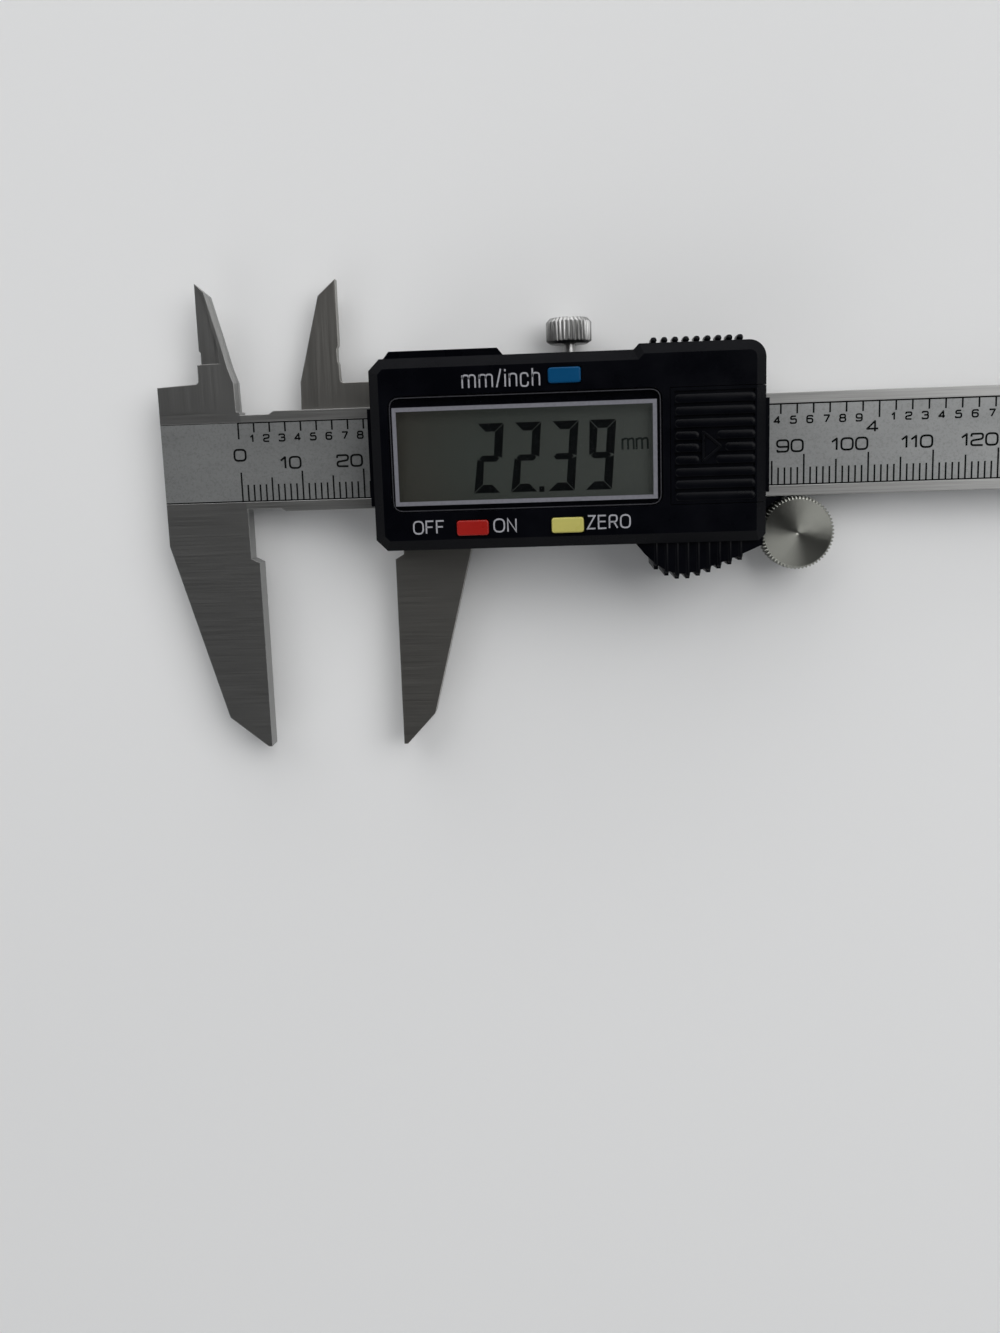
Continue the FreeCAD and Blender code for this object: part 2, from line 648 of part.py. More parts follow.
def inside_jaw_outline():
    """Moving inside jaw and its arm, which have only the rear half of the thickness."""
    edge = MOVING_KNIFE_X
    low = GIB_LOW
    return [
        (edge - D.inner_jaw_wide * 1.02, low),
        (edge - D.inner_jaw_wide, ARM_HIGH + D.shelf_slope),
        (edge - D.inner_jaw_top_wide, D.inner_jaw_kink),
        (edge, D.knife_top),
        (edge, D.knife_notch + D.knife_relief * 2),
        (edge - D.knife_relief, D.knife_notch),
        (edge - D.knife_relief, D.knife_step),
        (edge - D.knife_relief / 3, D.knife_step - D.knife_relief * 2),
        (edge, ARM_HIGH),
        (FRAME_LEFT + D.arm_root, ARM_HIGH),
        (FRAME_LEFT + D.arm_root, low),
    ]


def make_slider_frame():
    body = new_body("slider_frame")
    outer = RAIL_OUTER
    pad(body, "back_wall", box_of(FRAME_LEFT, FRAME_RIGHT, -outer, outer),
        FRAME_BACK, CHANNEL_BACK)
    pad(body, "top_rail", box_of(FRAME_LEFT, FRAME_RIGHT, RAIL_HIGH, outer),
        CHANNEL_BACK, D.rail_top)
    pad(body, "bottom_rail", box_of(FRAME_LEFT, FRAME_RIGHT, -outer, RAIL_LOW),
        CHANNEL_BACK, D.rail_top)
    pad(body, "outside_jaw", shape_of(outside_jaw_outline()), CHANNEL_BACK, 0.0)
    pad(body, "inside_jaw", shape_of(inside_jaw_outline()), CHANNEL_BACK,
        MID_LEVEL - D.jaw_split_gap)
    cut(body, "case_screw_holes", circles_of(post_places(), D.case_screw_rad + D.screw_gap),
        FRAME_BACK - 0.1, D.rail_top + 0.1)
    cut(body, "case_screw_seats", circles_of(post_places(), D.case_screw_head + D.screw_gap),
        FRAME_BACK - 0.1, FRAME_BACK + D.case_screw_head_high)
    cut(body, "plate_screw_holes", circles_of(plate_screw_places(), D.plate_screw_rad),
        FRAME_BACK - 0.1, CHANNEL_BACK - D.plate_screw_short)
    cut(body, "rivet_holes", circles_of(rivet_places(), D.rivet_rad),
        FRAME_BACK - 0.1, CHANNEL_BACK + 0.1)
    cut_across(body, "set_screw_holes",
               [(SET_SCREW_FIRST, MID_LEVEL), (SET_SCREW_LAST, MID_LEVEL)],
               D.set_screw_rad + D.screw_gap, RAIL_HIGH - 0.1, outer + 0.1)
    cut_across(body, "lock_hole", [(LOCK_ALONG, MID_LEVEL)], D.lock_rad + D.screw_gap,
               RAIL_HIGH - 0.1, outer + 0.1)
    dress(body, "Fillet", "arm_fillet", D.corner_fillet,
          upright_at([(MOVING_KNIFE_X, ARM_HIGH)]))
    finish(body, "slider_frame")


def make_gib_strip():
    body = new_body("gib_strip")
    pad(body, "gib", box_of(FRAME_LEFT + D.gib_short, FRAME_RIGHT - D.gib_short, GIB_LOW, GIB_HIGH),
        CHANNEL_BACK + D.slide_gap, 0.0)
    finish(body, "gib_strip")


def make_gib_set_screws():
    body = new_body("gib_set_screws")
    tip = GIB_HIGH
    top = RAIL_OUTER - D.set_screw_sunk
    point = D.screw_point
    for number, along in enumerate((SET_SCREW_FIRST, SET_SCREW_LAST), start=1):
        turn(body, "set_screw_%d" % number, (along, MID_LEVEL),
             [(0.0, tip), (D.set_screw_rad - point, tip), (D.set_screw_rad, tip + point),
              (D.set_screw_rad, top), (D.socket_rad, top), (D.socket_rad, top - D.socket_deep),
              (0.0, top - D.socket_deep)], "Y")
    finish(body, "gib_set_screws")


def make_rear_plate():
    body = new_body("rear_plate")
    pad(body, "plate", box_of(PLATE_LEFT, PLATE_RIGHT, -PLATE_HALF, PLATE_HALF),
        PLATE_BACK, FRAME_BACK)
    cut(body, "plate_holes", circles_of(plate_screw_places(), D.plate_screw_rad + D.screw_gap),
        PLATE_BACK - 0.1, FRAME_BACK + 0.1)
    cut(body, "plate_seats", circles_of(plate_screw_places(), D.plate_screw_head + D.screw_gap),
        PLATE_BACK - 0.1, PLATE_BACK + D.plate_screw_head_high)
    corners = [(x, y) for x in (PLATE_LEFT, PLATE_RIGHT)
               for y in (-PLATE_HALF, PLATE_HALF)]
    dress(body, "Fillet", "plate_corners", D.corner_fillet * 2, upright_at(corners))
    finish(body, "rear_plate")


def make_rear_plate_screws():
    screw_group("rear_plate_screws", plate_screw_places(), PLATE_BACK,
                PLATE_BACK + D.plate_screw_head_high, D.plate_screw_head,
                D.plate_screw_rad - D.screw_gap / 2, CHANNEL_BACK - D.plate_screw_short * 1.3)


# ---------------------------------------------------------------- depth rod

def make_depth_rod():
    body = new_body("depth_rod")
    half = D.rod_width / 2
    low = BEAM_BACK + D.rod_gap
    pad(body, "rod", box_of(ROD_LEFT, ROD_TIP, -half, half), low, low + D.rod_thick)
    cut(body, "rod_step", box_of(ROD_TIP - D.rod_notch, ROD_TIP + 1, -half - 1, 0.0),
        low - 0.1, low + D.rod_thick + 0.1)
    cut(body, "rod_holes", circles_of(rivet_places(), D.rivet_rad), low - 0.1,
        low + D.rod_thick + 0.1)
    finish(body, "depth_rod")


def make_rod_rivets():
    body = new_body("rod_rivets")
    low = FRAME_BACK
    pad(body, "rivets", circles_of(rivet_places(), D.rivet_rad), low,
        BEAM_BACK + D.rod_gap + D.rod_thick)
    finish(body, "rod_rivets")


# ---------------------------------------------------------------- front housing

def case_outline():
    """Housing seen from the front, without the thumb rest and the grip ribs."""
    return [
        (CASE_LEFT, CASE_LOW + D.case_corner),
        (CASE_LEFT + D.case_corner, CASE_LOW),
        (CASE_RIGHT - D.case_low_corner, CASE_LOW),
        (CASE_RIGHT, CASE_LOW + D.case_low_corner),
        (CASE_RIGHT, CROWN),
        (CROWN_START + D.crown_rise, CROWN),
        (CROWN_START, CASE_HIGH),
        (CASE_LEFT + D.case_corner, CASE_HIGH),
        (CASE_LEFT, CASE_HIGH - D.case_corner),
    ]


def thumb_depth(along):
    """How far the thumb rest stands below the housing at one place along X."""
    if plain(along) <= plain(THUMB_PEAK):
        rise = (THUMB_PEAK - along) / (THUMB_PEAK - THUMB_START)
        return D.thumb_deep * (1.0 - rise ** 2)
    fall = (along - THUMB_PEAK) / (THUMB_END - THUMB_PEAK)
    return D.thumb_deep - (D.thumb_deep - D.thumb_end_deep) * fall ** 1.3


def thumb_outline():
    steps = 14
    run = THUMB_END - THUMB_START
    corners = [(THUMB_START, CASE_LOW + D.rib_sink)]
    for i in range(steps + 1):
        along = THUMB_START + run * (i / steps)
        corners.append((along, CASE_LOW - thumb_depth(along)))
    corners.append((THUMB_END, CASE_LOW + D.case_low_corner + D.thumb_short))
    return corners


def rib_places():
    count = int(round(plain(D.rib_count)))
    return [RIB_FIRST + D.rib_pitch * i for i in range(count)]


def top_ribs(sketch):
    for along in rib_places():
        draw_box(sketch, along - D.rib_wide / 2, along + D.rib_wide / 2,
                 CROWN - D.rib_sink, CROWN + D.rib_high)


def thumb_ribs(sketch):
    for along in rib_places():
        low = CASE_LOW - thumb_depth(along)
        draw_box(sketch, along - D.rib_wide / 2, along + D.rib_wide / 2,
                 low - D.rib_high, low + D.rib_sink)


def button_places():
    return {"mode_button": (MODE_ALONG, MODE_UP),
            "power_button": (POWER_ALONG, LOWER_BUTTONS),
            "zero_button": (MODE_ALONG, LOWER_BUTTONS)}


def button_box(place, grow):
    x, y = place
    long = D.button_long / 2 + grow
    wide = D.button_wide / 2 + grow
    return (x - long, x + long, y - wide, y + wide)


def make_front_housing():
    body = new_body("front_housing")
    pad(body, "case_block", shape_of(case_outline()), CASE_BACK, CASE_FRONT)
    corner = (CASE_RIGHT, CROWN)
    dress(body, "Fillet", "end_corner_round", D.end_corner, upright_at([corner]))
    dress(body, "Chamfer", "front_bevel", D.case_chamfer, level_edges(CASE_FRONT))
    pad(body, "thumb_rest", shape_of(thumb_outline()), CASE_BACK, CEILING - D.thumb_below)
    rib_front = CEILING - D.rib_below
    pad(body, "crown_ribs", top_ribs, rib_front - D.crown_rib_long, rib_front)
    pad(body, "thumb_rest_ribs", thumb_ribs, CASE_BACK, rib_front)
    pad(body, "end_lip", box_of(CASE_LEFT - D.lip_out, CASE_LEFT + 0.5,
                                -D.lip_half, D.lip_half), D.rail_top, CEILING - D.lip_below)
    inner = INNER
    wall = D.case_wall
    cut(body, "cavity", box_of(CASE_LEFT + wall, CASE_RIGHT - wall, -inner, inner),
        CASE_BACK - 0.1, CEILING)
    jaw_right = MOVING_FACE + D.jaw_root_width + D.case_gap * 4
    cut(body, "left_mouth", box_of(CASE_LEFT - 1, CASE_LEFT + wall + 0.1,
                                   CASE_LOW - 1, ARM_HIGH + D.case_gap * 2),
        CASE_BACK - 0.1, D.rail_top)
    cut(body, "jaw_mouth", box_of(CASE_LEFT - 1, jaw_right, CASE_LOW - 1, -inner + 0.1),
        CASE_BACK - 0.1, D.rail_top)
    cut(body, "right_mouth", box_of(CASE_RIGHT - wall - 0.1, CASE_RIGHT + 1,
                                    -inner, BEAM_HALF + D.case_gap * 2),
        CASE_BACK - 0.1, D.rail_top + D.case_gap)
    gap = D.window_gap
    cut(body, "window_seat", box_of(WINDOW_LEFT - gap, WINDOW_RIGHT + gap,
                                    WINDOW_LOW - gap, WINDOW_HIGH + gap),
        WINDOW_FLOOR, CASE_FRONT + 0.1)
    places = [(x, y) for x in (WINDOW_LEFT - gap, WINDOW_RIGHT + gap)
              for y in (WINDOW_LOW - gap, WINDOW_HIGH + gap)]
    dress(body, "Fillet", "window_seat_round", D.window_corner, upright_at(places))
    cut(body, "screen_hole", box_of(SCREEN_LEFT, SCREEN_RIGHT, SCREEN_LOW, SCREEN_HIGH),
        CEILING - 0.1, WINDOW_FLOOR + 0.1)

    def button_holes(sketch):
        for place in button_places().values():
            draw_box(sketch, *button_box(place, D.button_gap))
    cut(body, "button_holes", button_holes, CEILING - 0.1, CASE_FRONT + 0.1)
    gap = D.cover_gap
    cut(body, "cover_seat", box_of(COVER_LEFT - gap, CASE_RIGHT + 2,
                                   COVER_LOW - gap, COVER_HIGH + gap),
        CEILING - 0.1, CASE_FRONT + 0.1)
    cut(body, "cover_end_gap", box_of(CASE_RIGHT - wall - 0.1, CASE_RIGHT + 2,
                                      COVER_LOW - gap, COVER_HIGH + gap),
        COVER_BOTTOM - gap, CASE_FRONT + 0.1)
    cut(body, "port_slot", box_of(TONGUE_LEFT - 0.1,
                                  TONGUE_LEFT + D.tongue_long + D.port_travel + 0.1,
                                  inner - 0.1, CASE_HIGH + 0.1),
        -D.tongue_half - 0.1, D.tongue_half + 0.1)
    cut_across(body, "lock_opening", [(LOCK_ALONG, MID_LEVEL)],
               D.lock_collar_rad + D.case_gap * 2, inner - 0.1, CASE_HIGH + 0.1)
    pad(body, "posts", circles_of(post_places(), D.post_rad), D.rail_top, CEILING + 0.1)
    cut(body, "post_holes", circles_of(post_places(), D.case_screw_rad - 0.05),
        D.rail_top - 0.1, FRAME_BACK + D.case_screw_length + 0.3)
    finish(body, "front_housing")


def make_housing_screws():
    screw_group("housing_screws", post_places(), FRAME_BACK, FRAME_BACK + D.case_screw_head_high,
                D.case_screw_head, D.case_screw_rad - 0.06, FRAME_BACK + D.case_screw_length)


# ---------------------------------------------------------------- display

def make_display_window():
    body = new_body("display_window")
    pad(body, "window", box_of(WINDOW_LEFT, WINDOW_RIGHT, WINDOW_LOW, WINDOW_HIGH),
        WINDOW_FLOOR, WINDOW_FLOOR + D.window_thick)
    places = [(x, y) for x in (WINDOW_LEFT, WINDOW_RIGHT)
              for y in (WINDOW_LOW, WINDOW_HIGH)]
    dress(body, "Fillet", "window_round", D.window_corner - D.window_gap, upright_at(places))
    finish(body, "display_window")


def screen_box(grow):
    return (SCREEN_LEFT - grow, SCREEN_RIGHT + grow, SCREEN_LOW - grow, SCREEN_HIGH + grow)


def make_lcd_glass():
    body = new_body("lcd_glass")
    pad(body, "glass", box_of(*screen_box(D.glass_over)), GLASS_LOW, GLASS_TOP)
    finish(body, "lcd_glass")


def make_lcd_holder():
    body = new_body("lcd_holder")
    outer = D.glass_over + D.holder_wall
    pad(body, "holder", box_of(*screen_box(D.glass_over + D.case_gap)), BOARD_TOP, GLASS_LOW)
    inset = D.glass_over - outer
    cut(body, "holder_hollow", box_of(*screen_box(inset)), BOARD_TOP - 0.1, GLASS_LOW + 0.1)

    def zebra_slots(sketch):
        for left, right, low, high in zebra_boxes(D.case_gap / 2):
            draw_box(sketch, left, right, low, high)
    cut(body, "zebra_slots", zebra_slots, BOARD_TOP - 0.1, GLASS_LOW + 0.1)
    finish(body, "lcd_holder")


def zebra_boxes(grow):
    """The two rubber connectors, under the glass's long edges."""
    left = SCREEN_LEFT + D.zebra_inset - grow
    right = SCREEN_RIGHT - D.zebra_inset + grow
    high = SCREEN_HIGH + D.glass_over - D.zebra_edge
    low = SCREEN_LOW - D.glass_over + D.zebra_edge
    return [(left, right, high - D.zebra_wide - grow, high + grow),
            (left, right, low - grow, low + D.zebra_wide + grow)]


def make_zebra_strips():
    body = new_body("zebra_strips")

    def strips(sketch):
        for left, right, low, high in zebra_boxes(0.0):
            draw_box(sketch, left, right, low, high)
    pad(body, "strips", strips, BOARD_TOP, GLASS_LOW)
    finish(body, "zebra_strips")


# ---------------------------------------------------------------- electronics

def make_circuit_board():
    body = new_body("circuit_board")
    left = BOARD_LEFT
    right = BOARD_RIGHT
    shoulder_left = POST_LEFT + D.board_shoulder
    shoulder_right = POST_RIGHT - D.board_shoulder
    neck = BOARD_NECK
    half = BOARD_HALF
    pad(body, "board", shape_of([
        (left, -neck), (shoulder_left, -neck), (shoulder_left, -half),
        (shoulder_right, -half), (shoulder_right, -neck), (right, -neck),
        (right, neck), (shoulder_right, neck), (shoulder_right, half),
        (shoulder_left, half), (shoulder_left, neck), (left, neck)]), D.rail_top, BOARD_TOP)
    finish(body, "circuit_board")


def make_display_chip():
    body = new_body("display_chip")
    middle = (SCREEN_LEFT + SCREEN_RIGHT) / 2
    half = D.chip_wide / 2
    pad(body, "chip", box_of(middle - half, middle + half, -half, half),
        BOARD_TOP, BOARD_TOP + D.chip_high)
    dress(body, "Chamfer", "chip_slope", D.chip_high * 0.45, level_edges(BOARD_TOP + D.chip_high))
    finish(body, "display_chip")


def make_button_domes():
    body = new_body("button_domes")
    pad(body, "domes", circles_of(button_places().values(), D.dome_rad),
        BOARD_TOP, BOARD_TOP + D.dome_high)
    dress(body, "Chamfer", "dome_slope", D.dome_high * 0.5,
          level_edges(BOARD_TOP + D.dome_high))
    finish(body, "button_domes")


def make_button(label):
    """Cap through the housing, a flange that keeps it in, and the stem above its dome."""
    place = button_places()[label]
    x, y = place
    body = new_body(label)
    stem_low = BOARD_TOP + D.dome_high + D.button_travel + 0.05
    flange_high = CEILING - 0.05
    flange_low = flange_high - D.button_flange_thick
    top = CASE_FRONT + D.button_proud
    half_long = D.button_stem_long / 2
    half_wide = D.button_stem_wide / 2
    pad(body, label + "_stem", box_of(x - half_long, x + half_long, y - half_wide,
                                      y + half_wide), stem_low, flange_low + 0.1)
    pad(body, label + "_flange", box_of(*button_box(place, D.button_flange)),
        flange_low, flange_high)
    pad(body, label + "_cap", box_of(*button_box(place, 0.0)), flange_high - 0.1, top)
    left, right, low, high = button_box(place, 0.0)
    dress(body, "Fillet", label + "_corners", D.button_corner,
          upright_at([(left, low), (left, high), (right, low), (right, high)]))
    dress(body, "Fillet", label + "_crown", D.button_corner / 2, level_edges(top))
    finish(body, label)


# ---------------------------------------------------------------- battery

def make_battery_cell():
    body = new_body("battery_cell")
    crimp = D.cell_crimp
    cap = D.cell_rad - D.cell_cap_edge
    step = CELL_LOW + crimp * 1.5
    turn(body, "cell", CELL_PLACE, [
        (0.0, CELL_LOW), (cap, CELL_LOW), (cap, step), (D.cell_rad - crimp, step),
        (D.cell_rad, step + crimp), (D.cell_rad, CELL_TOP - crimp),
        (D.cell_rad - crimp, CELL_TOP), (0.0, CELL_TOP)], "Z")
    finish(body, "battery_cell")


def make_battery_tray():
    body = new_body("battery_tray")
    half = TRAY_HALF_LONG
    top = CEILING - D.tray_under_cover
    pad(body, "tray", box_of(CELL_ALONG - half, CELL_ALONG + half,
                             D.cell_up - TRAY_HALF, D.cell_up + TRAY_HALF), BOARD_TOP, top)
    cut(body, "tray_bore", circles_of([CELL_PLACE], D.cell_rad + D.cell_gap),
        BOARD_TOP - 0.1, top + 0.1)
    side = D.contact_wide / 2 + 0.1
    cut(body, "tray_slot", box_of(CELL_ALONG - side, CELL_ALONG + side, D.cell_up,
                                  D.cell_up + D.cell_rad + D.cell_gap + D.contact_thick + 0.1),
        BOARD_TOP - 0.1, top + 0.1)
    finish(body, "battery_tray")


def make_cell_side_contact():
    body = new_body("cell_side_contact")
    side = D.contact_wide / 2
    low = D.cell_up + D.cell_rad + 0.05
    pad(body, "side_leaf", box_of(CELL_ALONG - side, CELL_ALONG + side,
                                  low, low + D.contact_thick),
        BOARD_TOP, CELL_LOW + D.cell_thick * 0.7)
    finish(body, "cell_side_contact")


def make_cell_base_contact():
    """A leaf that lies on the board and springs up under the cell."""
    body = new_body("cell_base_contact")
    thick = D.contact_thick
    reach = D.cell_rad - D.cell_cap_edge * 1.5
    sketch = new_sketch(body, "base_leaf", "XZ_Plane",
                        (CELL_ALONG, 0.0, -(D.cell_up - D.contact_wide / 2)))
    draw_polygon(sketch, [
        (-reach, BOARD_TOP), (0.0, BOARD_TOP), (reach, CELL_LOW - thick), (reach, CELL_LOW),
        (reach - thick * 5, CELL_LOW), (0.0, BOARD_TOP + thick * 1.3), (-reach, BOARD_TOP + thick)])
    leaf = extrude(body, "Pad", sketch, D.contact_wide)
    leaf.Reversed = True
    finish(body, "cell_base_contact")


def cover_grooves(sketch):
    half = D.groove_height / 2
    for i in range(int(round(plain(D.groove_count)))):
        middle = GROOVE_FIRST - GROOVE_PITCH * i
        draw_box(sketch, GROOVES_LEFT, GROOVES_RIGHT, middle - half, middle + half)


def make_battery_cover():
    body = new_body("battery_cover")
    left = COVER_LEFT
    low = COVER_LOW
    wall = D.case_wall - D.case_gap
    pad(body, "cover_plate", box_of(left, CASE_RIGHT, low, COVER_HIGH),
        CEILING, CASE_FRONT)
    pad(body, "cover_end", box_of(CASE_RIGHT - wall, CASE_RIGHT, low, COVER_HIGH),
        COVER_BOTTOM, CASE_FRONT)
    end = (CASE_RIGHT - 0.1, CASE_RIGHT + 0.1, low - 0.1, COVER_HIGH + 0.1)
    dress(body, "Chamfer", "cover_bevel", D.case_chamfer, level_edges(CASE_FRONT, end))
    pad(body, "cover_pull", box_of(CASE_RIGHT - wall, COVER_RIGHT, -COVER_LIP_HALF,
                                   COVER_LIP_HALF), COVER_BOTTOM, CASE_FRONT - D.case_chamfer)
    cut(body, "cover_ribs", cover_grooves, CASE_FRONT - D.groove_cut, CASE_FRONT + 0.1)
    middle = CELL_ALONG
    half = GROOVE_PITCH * 1.15
    point = D.arrow_half
    pad(body, "cover_arrow", shape_of([(middle - point, -half), (middle + point, 0.0),
                                       (middle - point, half)]),
        CASE_FRONT - D.case_wall / 2, CASE_FRONT + D.slide_gap)
    finish(body, "battery_cover")


# ---------------------------------------------------------------- data port cover

def make_data_port_cover():
    body = new_body("data_port_cover")
    low = CASE_HIGH + D.port_gap
    high = low + D.port_high
    slope = D.port_slope
    pad(body, "port_plate", shape_of([
        (PORT_LEFT, low), (PORT_RIGHT, low), (PORT_RIGHT, low + D.port_edge),
        (PORT_RIGHT - slope, high), (PORT_LEFT + slope, high),
        (PORT_LEFT, low + D.port_edge)]), -D.port_back, D.port_front)
    pad(body, "port_tongue", box_of(TONGUE_LEFT, TONGUE_LEFT + D.tongue_long,
                                    CASE_HIGH - D.tongue_deep, low + 0.1),
        -D.tongue_half, D.tongue_half)
    finish(body, "data_port_cover")


# ---------------------------------------------------------------- lock screw

def make_lock_screw():
    body = new_body("lock_screw")
    slope = D.lock_head_chamfer
    rad = D.lock_head_rad
    low = LOCK_HEAD_LOW
    high = LOCK_HEAD_HIGH
    turn(body, "lock_profile", (LOCK_ALONG, MID_LEVEL), [
        (0.0, GIB_HIGH), (D.lock_rad - D.screw_point, GIB_HIGH),
        (D.lock_rad, GIB_HIGH + D.screw_point), (D.lock_rad, low - D.lock_collar_high),
        (D.lock_collar_rad, low - D.lock_collar_high), (D.lock_collar_rad, low),
        (rad - slope, low), (rad, low + slope), (rad, high - slope), (rad - slope, high),
        (0.0, high)], "Y")
    sketch = new_sketch(body, "flute", "XZ_Plane", (LOCK_ALONG, MID_LEVEL, -high))
    draw_circle(sketch, (rad + D.lock_flute_rad * 0.35, 0.0), D.lock_flute_rad)
    flute = extrude(body, "Pocket", sketch, high - low)
    flute.Reversed = True
    doc.recompute()
    pattern = body.newObject("PartDesign::PolarPattern", "flutes")
    pattern.Originals = [flute]
    pattern.Axis = (sketch, ["N_Axis"])
    pattern.Angle = 360.0
    pattern.Occurrences = int(round(plain(D.lock_flutes)))
    body.Tip = pattern
    finish(body, "lock_screw")


# ---------------------------------------------------------------- thumb roller

def make_thumb_roller():
    body = new_body("thumb_roller")
    low = -D.roller_back
    high = D.roller_front
    rad = D.roller_rad
    slope = D.roller_bevel
    hole = D.pin_rad + D.pin_gap
    turn(body, "roller_profile", ROLLER_PLACE, [
        (hole, low), (rad - slope, low), (rad, low + slope), (rad, high - slope),
        (rad - slope, high), (0.0, high), (0.0, low + D.roller_hole_deep),
        (hole, low + D.roller_hole_deep)], "Z")
    finish(body, "thumb_roller")


def make_roller_pin():
    body = new_body("roller_pin")
    bracket_low = -D.roller_back - D.bracket_gap - D.bracket_thick
    low = bracket_low - D.pin_head_high
    tip = -D.roller_back + D.roller_hole_deep - D.pin_gap * 2
    turn(body, "pin_profile", ROLLER_PLACE, [
        (0.0, low), (D.pin_head_rad - D.screw_point, low),
        (D.pin_head_rad, low + D.screw_point),
        (D.pin_head_rad, bracket_low), (D.pin_rad, bracket_low),
        (D.pin_rad, tip), (0.0, tip)], "Z")
    finish(body, "roller_pin")


def make_roller_bracket():
    """Arm behind the roller, held under the bottom rail, with a fin beside the rim."""
    body = new_body("roller_bracket")
    high = -D.roller_back - D.bracket_gap
    low = high - D.bracket_thick
    eye = D.bracket_eye
    root = FRAME_RIGHT
    top = -(BEAM_HALF + D.bracket_top)
    low_root = -(RAIL_OUTER - D.bracket_gap)
    outside = CASE_RIGHT + D.bracket_gap
    pad(body, "arm", shape_of([
        (root, low_root), (outside, low_root), (outside + 1.5, ROLLER_UP - eye),
        (ROLLER_ALONG, ROLLER_UP - eye), (ROLLER_ALONG + eye, ROLLER_UP),
        (ROLLER_ALONG, ROLLER_UP + eye), (outside + 0.5, top), (root, top)]), low, high)
    reach = D.roller_rad + D.bracket_gap
    pad(body, "fin", shape_of([
        (root, low_root), (outside, low_root),
        (ROLLER_ALONG - reach + 2.5, top - 1.2), (ROLLER_ALONG - 1.2, top),
        (root, top)]), low, D.rail_top - 0.2)
    cut(body, "rim_room", circles_of([ROLLER_PLACE], reach), high, D.rail_top + 1.0)
    cut(body, "pin_hole", circles_of([ROLLER_PLACE], D.pin_rad + 0.02), low - 0.1, high + 0.1)
    finish(body, "roller_bracket")


# ---------------------------------------------------------------- build and write

make_main_beam()
make_stator_strip()
make_scale_label()
make_end_stop()
make_end_stop_screws()
make_slider_frame()
make_gib_strip()
make_gib_set_screws()
make_rear_plate()
make_rear_plate_screws()
make_depth_rod()
make_rod_rivets()
make_front_housing()
make_housing_screws()
make_display_window()
make_lcd_glass()
make_lcd_holder()
make_zebra_strips()
make_circuit_board()
make_display_chip()
make_button_domes()
for button_label in button_places():
    make_button(button_label)
make_battery_cell()
make_battery_tray()
make_cell_side_contact()
make_cell_base_contact()
make_battery_cover()
make_data_port_cover()
make_lock_screw()
make_thumb_roller()
make_roller_pin()
make_roller_bracket()
doc.recompute()

for item in doc.Objects:
    faults = [word for word in item.State if word in ("Invalid", "Error")]
    if faults:
        raise ValueError(item.Name + " is " + ", ".join(faults))
for item in subparts:
    if item.Shape.isNull() or not item.Shape.isValid():
        raise ValueError(item.Label + " has no valid shape")

os.makedirs("parts", exist_ok=True)
for item in subparts:
    item.Shape.exportStep("parts/" + item.Label + ".step")
    box = item.Shape.BoundBox
    print("%-20s %2d %9.2f  x %7.2f %7.2f  y %7.2f %7.2f  z %6.2f %6.2f" % (
        item.Label, len(item.Shape.Solids), item.Shape.Volume, box.XMin, box.XMax,
        box.YMin, box.YMax, box.ZMin, box.ZMax))
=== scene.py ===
import math

import bmesh
import bpy
from mathutils import Matrix, Vector


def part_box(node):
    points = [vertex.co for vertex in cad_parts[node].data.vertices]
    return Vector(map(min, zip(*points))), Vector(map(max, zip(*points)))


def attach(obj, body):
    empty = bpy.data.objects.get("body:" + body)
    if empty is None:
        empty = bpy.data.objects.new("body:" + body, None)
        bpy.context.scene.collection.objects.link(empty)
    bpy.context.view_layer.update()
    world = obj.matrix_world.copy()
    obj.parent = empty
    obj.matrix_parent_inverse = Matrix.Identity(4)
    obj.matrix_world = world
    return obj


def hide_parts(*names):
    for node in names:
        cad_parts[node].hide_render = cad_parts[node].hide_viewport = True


MM = 0.001
EDGE_TO_ZERO = 12.7 * MM  # from the beam's left edge to the scale's zero line
JAW_LINE = 8.3 * MM  # above this, from the beam's middle, the steel belongs to a jaw
RAIL_EDGE = 8.12 * MM  # the rails beside the scale reach this far from the middle

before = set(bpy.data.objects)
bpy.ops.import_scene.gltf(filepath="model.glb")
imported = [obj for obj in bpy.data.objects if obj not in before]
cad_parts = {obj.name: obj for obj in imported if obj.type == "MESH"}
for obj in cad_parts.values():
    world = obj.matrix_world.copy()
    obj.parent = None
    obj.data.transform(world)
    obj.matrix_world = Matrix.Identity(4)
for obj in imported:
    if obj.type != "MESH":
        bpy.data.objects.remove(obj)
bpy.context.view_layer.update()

# ---------------------------------------------------------------- places, from the frame

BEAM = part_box("main_beam")
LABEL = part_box("scale_label")
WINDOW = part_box("display_window")
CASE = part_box("front_housing")
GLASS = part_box("lcd_glass")
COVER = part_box("battery_cover")
ZERO = BEAM[0].x + EDGE_TO_ZERO
MIDDLE = (LABEL[0].y + LABEL[1].y) / 2
LENS_MIDDLE = (WINDOW[0].y + WINDOW[1].y) / 2


def on_label(x, y):
    """Millimetres from the scale's zero line and from the label's centreline."""
    return ZERO + x * MM, MIDDLE + y * MM


def on_face(x, y):
    """Millimetres from the lens's left edge and from its middle line."""
    return WINDOW[0].x + x * MM, LENS_MIDDLE + y * MM


# ---------------------------------------------------------------- materials

